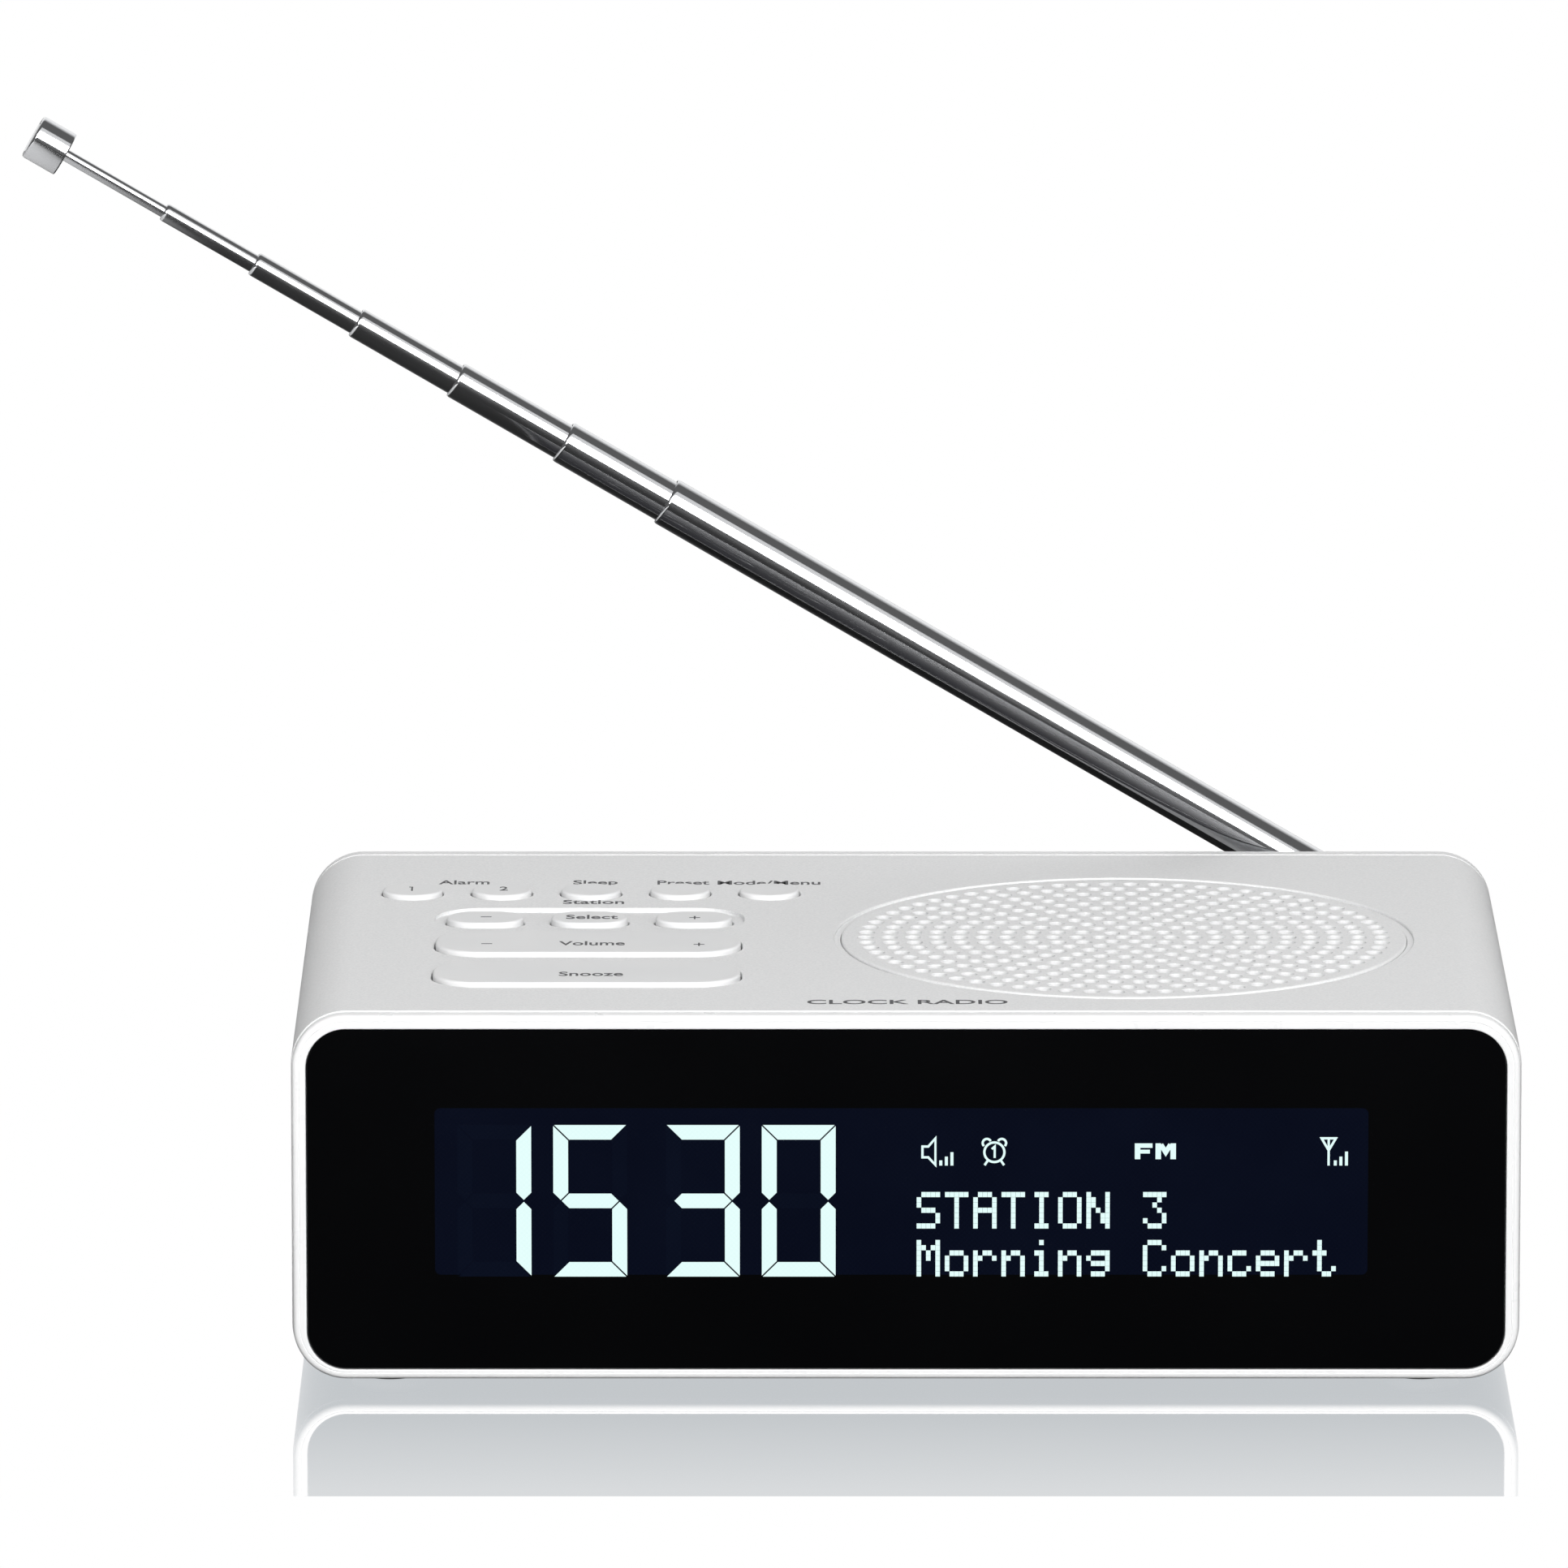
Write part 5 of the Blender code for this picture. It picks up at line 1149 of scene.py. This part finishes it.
# %% The disc and one cutter for its holes
HOLE_RADIUS, HOLE_POINTS, HOLE_RIM = 1.32 * MM, 20, 0.07 * MM
HOLE_PITCH = 3.69 * MM
HOLE_RINGS = 11
DISC_CHAMFER, DISC_ROUND, DISC_BORDER = 0.15 * MM, 0.4 * MM, 0.3 * MM
disc_profile = [(disc_radius - DISC_CHAMFER, grille_low.z),
                (disc_radius, grille_low.z + DISC_CHAMFER),
                *over_edge(disc_radius, grille_high.z, DISC_ROUND),
                (disc_radius - DISC_ROUND - DISC_BORDER, grille_high.z)]
disc = skin("grille_disc", stacked(grille_circle, disc_profile), "cabinet_white")
hole_cutter = flared_cutter(lambda grow: circle_outline(HOLE_RADIUS + grow, count=HOLE_POINTS),
                            grille_low.z - PAST_WALL, grille_high.z, HOLE_RIM)
print("disc radius in mm:", round(disc_radius / MM, 2))

# %% The tree that places and cuts the holes
pattern = bpy.data.node_groups.new("sound_holes", "GeometryNodeTree")
for name, kind in (("Disc", "NodeSocketGeometry"), ("Cutter", "NodeSocketObject"),
                   ("Pitch", "NodeSocketFloat"), ("Rings", "NodeSocketInt"),
                   ("Middle", "NodeSocketVector"), ("Finish", "NodeSocketMaterial")):
    pattern.interface.new_socket(name, in_out="INPUT", socket_type=kind)
pattern.interface.new_socket("Grille", in_out="OUTPUT", socket_type="NodeSocketGeometry")
given = pattern.nodes.new("NodeGroupInput")
result = pattern.nodes.new("NodeGroupOutput")


def sum_of(operation, *values):
    return maths(pattern, operation, *values)


rings_in = given.outputs["Rings"]
count = sum_of("MULTIPLY", sum_of("MULTIPLY", rings_in, 3), sum_of("ADD", rings_in, 1))
points = pattern.nodes.new("GeometryNodePoints")
pattern.links.new(sum_of("ADD", count, 1), points.inputs["Count"])
number = pattern.nodes.new("GeometryNodeInputIndex").outputs[0]
root = sum_of("SQRT", sum_of("ADD", sum_of("MULTIPLY", number, 4 / 3), 1))
ring = sum_of("CEIL", sum_of("SUBTRACT", sum_of("DIVIDE", sum_of("SUBTRACT", root, 1), 2), 0.0001))
before = sum_of("MULTIPLY", sum_of("MULTIPLY", ring, 3), sum_of("SUBTRACT", ring, 1))
in_ring = sum_of("SUBTRACT", sum_of("SUBTRACT", number, before), 1)
angle = sum_of("DIVIDE", sum_of("MULTIPLY", in_ring, math.tau),
               sum_of("MAXIMUM", sum_of("MULTIPLY", ring, 6), 1))
radius = sum_of("MULTIPLY", ring, given.outputs["Pitch"])
spot = pattern.nodes.new("ShaderNodeCombineXYZ")
pattern.links.new(sum_of("MULTIPLY", radius, sum_of("COSINE", angle)), spot.inputs["X"])
pattern.links.new(sum_of("MULTIPLY", radius, sum_of("SINE", angle)), spot.inputs["Y"])
moved = vector_maths(pattern, "ADD", spot.outputs[0], given.outputs["Middle"])
pattern.links.new(moved, points.inputs["Position"])
print("maths nodes for the pattern:", len(pattern.nodes))

# %% Instances, the cut and the finish
cutter_info = pattern.nodes.new("GeometryNodeObjectInfo")
pattern.links.new(given.outputs["Cutter"], cutter_info.inputs["Object"])
scatter = pattern.nodes.new("GeometryNodeInstanceOnPoints")
realized = pattern.nodes.new("GeometryNodeRealizeInstances")
drill = pattern.nodes.new("GeometryNodeMeshBoolean")
drill.operation = "DIFFERENCE"
drill.solver = "MANIFOLD"
solid = pattern.nodes.new("GeometryNodeRealizeInstances")
dressed = pattern.nodes.new("GeometryNodeSetMaterial")
for source, target in (
        (points.outputs[0], scatter.inputs["Points"]),
        (cutter_info.outputs["Geometry"], scatter.inputs["Instance"]),
        (scatter.outputs[0], realized.inputs[0]), (given.outputs["Disc"], drill.inputs["Mesh 1"]),
        (realized.outputs[0], drill.inputs["Mesh 2"]), (drill.outputs[0], solid.inputs[0]),
        (solid.outputs[0], dressed.inputs["Geometry"]),
        (given.outputs["Finish"], dressed.inputs["Material"]),
        (dressed.outputs[0], result.inputs[0])):
    pattern.links.new(source, target)
holes = disc.modifiers.new("Sound holes", "NODES")
holes.node_group = pattern
sockets = {item.name: item.identifier for item in pattern.interface.items_tree}
for name, value in (("Cutter", hole_cutter), ("Pitch", HOLE_PITCH), ("Rings", HOLE_RINGS),
                    ("Middle", (*grille_middle, 0.0)), ("Finish", finishes["cabinet_white"])):
    holes[sockets[name]] = value
plain(disc)
discard(hole_cutter)
shade_evenly(disc)
settle(disc, "cabinet", "white_plastic", "speaker_grille")
print("grille triangles:", triangles(disc))

# %% [markdown]
# ## The rear cover
# The cover is a plate with a soft outer edge and a skirt that locates it in the cabinet. Its
# openings are for the power socket, the headphone socket, the antenna's shaft and four
# sunken screws. The screws' openings are stepped, so their cutter has two widths.

# %% Skin and cut the cover
cover_low, cover_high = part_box("rear_cover")
COVER_THICK = 3.2 * MM
EDGE, INNER_EDGE, FLAT_BORDER = 0.8 * MM, 0.15 * MM, 0.5 * MM
cover_inner = cover_high.y - COVER_THICK
profile = [(SKIRT_IN, cover_inner), (SKIRT_IN, cover_low.y), (SKIRT_OUT, cover_low.y),
           (SKIRT_OUT, cover_inner), (INNER_EDGE, cover_inner), (0.0, cover_inner + INNER_EDGE),
           *over_edge(0.0, cover_high.y, EDGE, 6, grow=1), (EDGE + FLAT_BORDER, cover_high.y),
           (SKIRT_IN, cover_high.y)]
cover = skin("back_cover", stacked(section, profile, "Y"), "cabinet_white")


DC_HOLE, PHONES_HOLE, SHAFT_HOLE = 4.4 * MM, 3.4 * MM, 2.8 * MM
SOCKET_RIM, SHAFT_RIM, HEAD_RIM = 0.3 * MM, 0.1 * MM, 0.25 * MM
HEAD_HOLE, HEAD_SUNK, SHANK_HOLE = 3.3 * MM, 2.3 * MM, 1.75 * MM
shaft = (elbow.x, elbow.z)
before_cover, past_cover = cover_low.y - BEYOND, cover_high.y + BEYOND
screw_seat = cover_high.y - HEAD_SUNK
cutters = []
for radius, centre, rim in ((DC_HOLE, face_middle("dc_jack"), SOCKET_RIM),
                            (PHONES_HOLE, face_middle("headphone_jack"), SOCKET_RIM),
                            (SHAFT_HOLE, shaft, SHAFT_RIM)):
    cutters.append(flared_cutter(lambda grow: circle_outline(radius + grow, centre), before_cover,
                                 cover_high.y, rim, "Y"))
screws = [f"rear_screw_{index}" for index in (1, 2, 3, 4)]
profile = [(SHANK_HOLE, before_cover), (SHANK_HOLE, screw_seat), (HEAD_HOLE, screw_seat),
           *over_edge(HEAD_HOLE, cover_high.y, HEAD_RIM, 4, grow=1),
           (HEAD_HOLE + HEAD_RIM, past_cover)]
cutters += [skin("cutter", circles(profile, face_middle(screw), "Y"), "cabinet_white")
            for screw in screws]
cut_away(cover, cutters)
settle(cover, "cabinet", "white_plastic", "rear_cover")
print("openings in the cover:", len(cutters))

# %% [markdown]
# ## Feet, screws and sockets
# These are all turned forms. A foot is a rubber pad with a shallow dish, a screw is a pan head
# with a cross sunk in it, and each socket is a box whose front runs into a round bore.

# %% The feet
FOOT_EDGE, FOOT_ROUND = 0.2 * MM, 1.6 * MM
DISH = ((0.66, 0.0), (0.62, 0.25), (0.30, 0.25), (0.26, 0.1))


def make_foot(name):
    low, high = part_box("foot_" + name)
    radius = (high.x - low.x) / 2
    profile = [(radius - FOOT_EDGE, high.z), (radius, high.z - FOOT_EDGE),
               *over_edge(radius, low.z, FOOT_ROUND, 6, into=1)]
    profile += [(radius * share, low.z + deep * MM) for share, deep in DISH]
    foot = skin("rubber_foot_" + name, circles(profile, face_middle("foot_" + name, "Z")),
                "foot_rubber")
    return settle(foot, "cabinet", "rubber", "foot_" + name)


print("feet:", [make_foot(name).name for name in feet])

# %% The rear screws
SHANK, POINT, POINT_LONG = 1.4 * MM, 0.5 * MM, 1.2 * MM
HEAD_TALL, HEAD_SIDE = 2.0 * MM, 0.7 * MM
HEAD_CURVE = ((0.93, 0.75), (0.78, 0.3), (0.5, 0.05), (0.3, 0.0))
BLADE, CROSS, CROSS_DEEP, CROSS_PAST = 0.9 * MM, 3.4 * MM, 1.2 * MM, 0.3 * MM


def make_rear_screw(node):
    low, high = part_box(node)
    centre = face_middle(node)
    head, under = (high.x - low.x) / 2, high.y - HEAD_TALL
    profile = [(POINT, low.y), (SHANK, low.y + POINT_LONG), (SHANK, under), (head, under),
               (head, under + HEAD_SIDE)]
    profile += [(head * share, high.y - sunk * MM) for share, sunk in HEAD_CURVE]
    screw = skin("cross_head_" + node[-1], circles(profile, centre, "Y"), "tinned_steel")
    blades = []
    for across, tall in ((BLADE, CROSS), (CROSS, BLADE)):
        bottom = rounded_outline(across * 0.5, tall * 0.5, 0.1 * MM, centre)
        top = rounded_outline(across, tall, 0.15 * MM, centre)
        rings = [level(bottom, high.y - CROSS_DEEP, "Y"), level(top, high.y + CROSS_PAST, "Y")]
        blades.append(skin("blade", rings, "tinned_steel"))
    cut_away(screw, blades)
    return settle(screw, "cabinet", "tinned_steel", node)


print("screws:", [make_rear_screw(node).name for node in screws])

# %% The sockets
SOCKET_EDGE, SOCKET_CORNER, BORE_EDGE, PIN_SHORT = 0.2 * MM, 0.4 * MM, 0.4 * MM, 1.2 * MM
DC_BORE, DC_DEEP, DC_PIN = 3.1 * MM, 9.5 * MM, 1.0 * MM
PHONES_BORE, PHONES_DEEP = 1.8 * MM, 10 * MM
BUSH = ((1.8, 0.0), (3.0, 0.0), (3.0, 2.2), (2.8, 2.5), (2.1, 2.5), (1.8, 2.2))
BUSH_GAP = 0.05 * MM


def make_socket(name, node, bore, depth, pin=None):
    """A box whose rear face runs into a bore, with a rounded pin in it where there is one."""
    low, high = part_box(node)
    centre = face_middle(node)
    wide, tall = high.x - low.x, high.z - low.z

    def block(inset):
        return rounded_outline(wide - 2 * inset, tall - 2 * inset, SOCKET_CORNER - inset / 2,
                               centre)

    rings = stacked(block, [(0.0, low.y), (0.0, high.y - SOCKET_EDGE), (SOCKET_EDGE, high.y)], "Y")
    bottom = high.y - depth
    profile = [(bore + BORE_EDGE, high.y), (bore, high.y - BORE_EDGE), (bore, bottom)]
    if pin:
        profile += [(pin, bottom), *over_edge(pin + TINY, high.y - PIN_SHORT, pin)]
    return settle(skin(name, rings + circles(profile, centre, "Y"), "black_plastic"), "cabinet",
                  "black_plastic", node)


make_socket("power_socket", "dc_jack", DC_BORE, DC_DEEP, DC_PIN)
make_socket("headphone_socket", "headphone_jack", PHONES_BORE, PHONES_DEEP)
phones_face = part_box("headphone_jack")[1].y + BUSH_GAP
profile = [(radius * MM, phones_face + back * MM) for radius, back in BUSH]
bush = skin("headphone_bush", circles(profile, face_middle("headphone_jack"), "Y"), "nickel",
            hollow=True)
settle(bush, "cabinet", "tinned_steel")
print("sockets made, bush stands on Y in mm:", round(phones_face / MM, 2))

# %% [markdown]
# ## The antenna
# Six tubes and a rod slide inside each other, and every tube's mouth is rolled in to grip the
# next one. All of it is turned about the antenna's own line, so a matrix carries circles from
# that line's frame to the radio's. How far each stage is drawn out is read from its box.

# %% The antenna's own frame
TUBE_RADII = [4.0 * MM, 3.5 * MM, 3.0 * MM, 2.5 * MM, 2.0 * MM, 1.5 * MM]
TUBE_WALL, TUBE_EASE = 0.3 * MM, 0.05 * MM
ROLL, ROLL_SHARE, ROLL_LIP, ROLL_INSIDE = 0.55 * MM, 0.42, 0.06 * MM, 0.9 * MM
ROUND_COUNT, PIN_COUNT = 64, 32


def line_up(direction):
    """A matrix that carries a form on the Z axis to the elbow, pointing in a direction."""
    turning = Vector((0, 0, 1)).rotation_difference(direction).to_matrix().to_4x4()
    return Matrix.Translation(elbow) @ turning


lean = line_up(along)


def reach_of(node):
    """The nearest and furthest distance of a node from the elbow, along the antenna."""
    spots = [(vertex.co - elbow).dot(along) for vertex in frame["nodes"][node].data.vertices]
    return min(spots), max(spots)


def turned(name, profile, hollow=False, onto=lean, count=ROUND_COUNT):
    """A chrome form of circles along a line through the elbow, from (radius, distance) pairs."""
    rings = [[onto @ point for point in ring] for ring in circles(profile, (0.0, 0.0), count=count)]
    return skin(name, rings, "chrome", hollow)


def rolled_mouth(radius, end):
    """The rolled end of a tube: over the outside, then back a little way inside."""
    inner = radius - TUBE_WALL
    return over_edge(radius, end, ROLL, 6, grow=-ROLL_SHARE) + [(inner, end - ROLL_LIP),
                                                                (inner, end - ROLL_INSIDE)]


for index in range(1, len(TUBE_RADII) + 1):
    near, far = reach_of(f"antenna_tube_{index}")
    print("tube", index, "reaches in mm:", round(near / MM, 1), "to", round(far / MM, 1))

# %% The six tubes
TONGUE_HALF, TONGUE_ROUND, TONGUE_TOP = 2.0 * MM, 3.4 * MM, 8.0 * MM
FIRST_TUBE = 7.0 * MM
ROOT_HOLE, ROOT_ROUND, ROOT_EASE, ROOT_SHOULDER = 1.2 * MM, 0.6 * MM, 0.15 * MM, 0.35 * MM
BORE_BOTTOM, TUBE_START = 2.0 * MM, 0.2 * MM


def first_tube(radius, far):
    """The widest tube: closed at its root, with a flat tongue that goes between the ears."""
    near = FIRST_TUBE
    profile = [(ROOT_HOLE, near - ROOT_ROUND), (radius - ROOT_ROUND, near - ROOT_ROUND),
               (radius - ROOT_EASE, near - ROOT_SHOULDER), (radius, near),
               *rolled_mouth(radius, far), (radius - TUBE_WALL, near + BORE_BOTTOM)]
    tube = turned("antenna_stage_tube_1", profile)
    arc = arc_points((0.0, 0.0), TONGUE_ROUND, 180, 360, 30)
    outline = [(-TONGUE_ROUND, TONGUE_TOP), *arc, (TONGUE_ROUND, TONGUE_TOP)]
    sides = [[lean @ Vector((x, y, z)) for y, z in outline] for x in (-TONGUE_HALF, TONGUE_HALF)]
    return cut_away(tube, [skin("tongue", sides, "chrome")], "UNION")


for index, radius in enumerate(TUBE_RADII, 1):
    node = f"antenna_tube_{index}"
    near, far = reach_of(node)
    if index == 1:
        tube = first_tube(radius, far)
    else:
        profile = [(radius - TUBE_WALL, near), (radius - TUBE_EASE, near),
                   (radius, near + TUBE_START), *rolled_mouth(radius, far)]
        tube = turned(f"antenna_stage_tube_{index}", profile, hollow=True)
    settle(tube, f"antenna_stage_{index}", "chrome", node)
print("tubes made:", len(TUBE_RADII))

# %% The rod and its cap
near, far = reach_of("antenna_rod")
ROD_RADIUS, ROD_POINT, ROD_TIP = 1.0 * MM, 0.6 * MM, 0.5 * MM
profile = [(ROD_POINT, near), (ROD_RADIUS, near + 0.4 * MM), (ROD_RADIUS, far + 0.5 * MM),
           (ROD_TIP, far + 0.6 * MM)]
settle(turned("antenna_thin_rod", profile), "antenna_stage_7", "chrome", "antenna_rod")
near, far = reach_of("antenna_cap")
CAP_RADIUS, CAP_ROOT, CAP_ROUND, CAP_DISH = 3.7 * MM, 0.25 * MM, 0.45 * MM, 0.12 * MM
root_radius = CAP_RADIUS - CAP_ROOT
profile = [(0.9 * MM, near + 0.05 * MM), (CAP_RADIUS - 0.55 * MM, near)]
profile += [(root_radius + CAP_ROOT * math.sin(turn), near + CAP_ROOT - CAP_ROOT * math.cos(turn))
            for turn in (math.pi / 6, math.pi / 3, math.pi / 2)]
profile += over_edge(CAP_RADIUS, far, CAP_ROUND, 6)
profile += [(CAP_RADIUS - 0.75 * MM, far), (CAP_RADIUS - 1.0 * MM, far - CAP_DISH),
            (0.4 * MM, far - CAP_DISH)]
settle(turned("antenna_end_cap", profile), "antenna_stage_7", "chrome", "antenna_cap")
print("cap length in mm:", round((far - near) / MM, 2))

# %% [markdown]
# ## The swivel
# The antenna stands on a chrome disc that turns in the rear cover. Two ears rise from the disc
# and hold the first tube's tongue on a pin, which lets the antenna tilt. The disc and the
# shaft are one turned form about the Y axis, and the ears are joined to it.

# %% The disc, the ears and the pin
SWIVEL_RADIUS, SWIVEL_ROUND, SWIVEL_GAP, SWIVEL_THICK = 6.0 * MM, 0.6 * MM, 0.3 * MM, 2.0 * MM
SHAFT_RADIUS = 2.5 * MM
EAR_RADIUS, EAR_INNER, EAR_OUTER = 3.4 * MM, 2.3 * MM, 4.1 * MM
EAR_EDGE, EAR_SHRINK = 0.25 * MM, 0.9
shaft_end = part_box("antenna_swivel")[0].y
disc_front = cover_high.y + SWIVEL_GAP
disc_back = disc_front + SWIVEL_THICK
profile = [(1.6 * MM, shaft_end), (SHAFT_RADIUS, shaft_end + 0.6 * MM), (SHAFT_RADIUS, disc_front),
           (SWIVEL_RADIUS - 0.2 * MM, disc_front), (SWIVEL_RADIUS, disc_front + 0.2 * MM),
           *over_edge(SWIVEL_RADIUS, disc_back, SWIVEL_ROUND),
           (SWIVEL_RADIUS - 2 * SWIVEL_ROUND, disc_back)]
swivel = skin("antenna_turn_disc", circles(profile, shaft, "Y"), "chrome")
across = along.cross(Vector((0, 1, 0))).normalized()


def ear(side):
    """A flat ear with a round end: in the plane of the antenna's line and the Y axis."""
    root = disc_back - 1.0 * MM - elbow.y
    outline = [(root, -EAR_RADIUS), *arc_points((0.0, 0.0), EAR_RADIUS, -90, 90),
               (root, EAR_RADIUS)]
    rings = []
    for offset, shrink in ((EAR_INNER, EAR_SHRINK), (EAR_INNER + EAR_EDGE, 1.0),
                           (EAR_OUTER - EAR_EDGE, 1.0), (EAR_OUTER, EAR_SHRINK)):
        middle = elbow + across * side * offset
        rings.append([middle + Vector((0, y * shrink if y > 0 else y, 0)) + along * (v * shrink)
                      for y, v in outline])
    return skin("ear", rings, "chrome")


cut_away(swivel, [ear(-1), ear(1)], "UNION")
settle(swivel, "antenna_base", "chrome", "antenna_swivel")
PIN_RADIUS = 1.1 * MM
HALF_PIN = ((PIN_RADIUS, EAR_OUTER + 0.3 * MM), (1.8 * MM, EAR_OUTER + 0.3 * MM),
            (1.6 * MM, EAR_OUTER + 0.75 * MM), (0.8 * MM, EAR_OUTER + 0.9 * MM))
profile = [(radius, -reach) for radius, reach in HALF_PIN[::-1]] + list(HALF_PIN)
pin = turned("antenna_pivot_pin", profile, onto=line_up(across), count=PIN_COUNT)
pin_body = next(body for body, members in frame["record"]["behaviour"]["bodies"].items()
                if "antenna_elbow_pin" in members)
settle(pin, pin_body, "chrome", "antenna_elbow_pin")
print("the pin rides on", pin_body)

# %% [markdown]
# ## Finish
# The dressed model has to keep the measured model's size.

# %% Update the scene
bpy.context.view_layer.update()
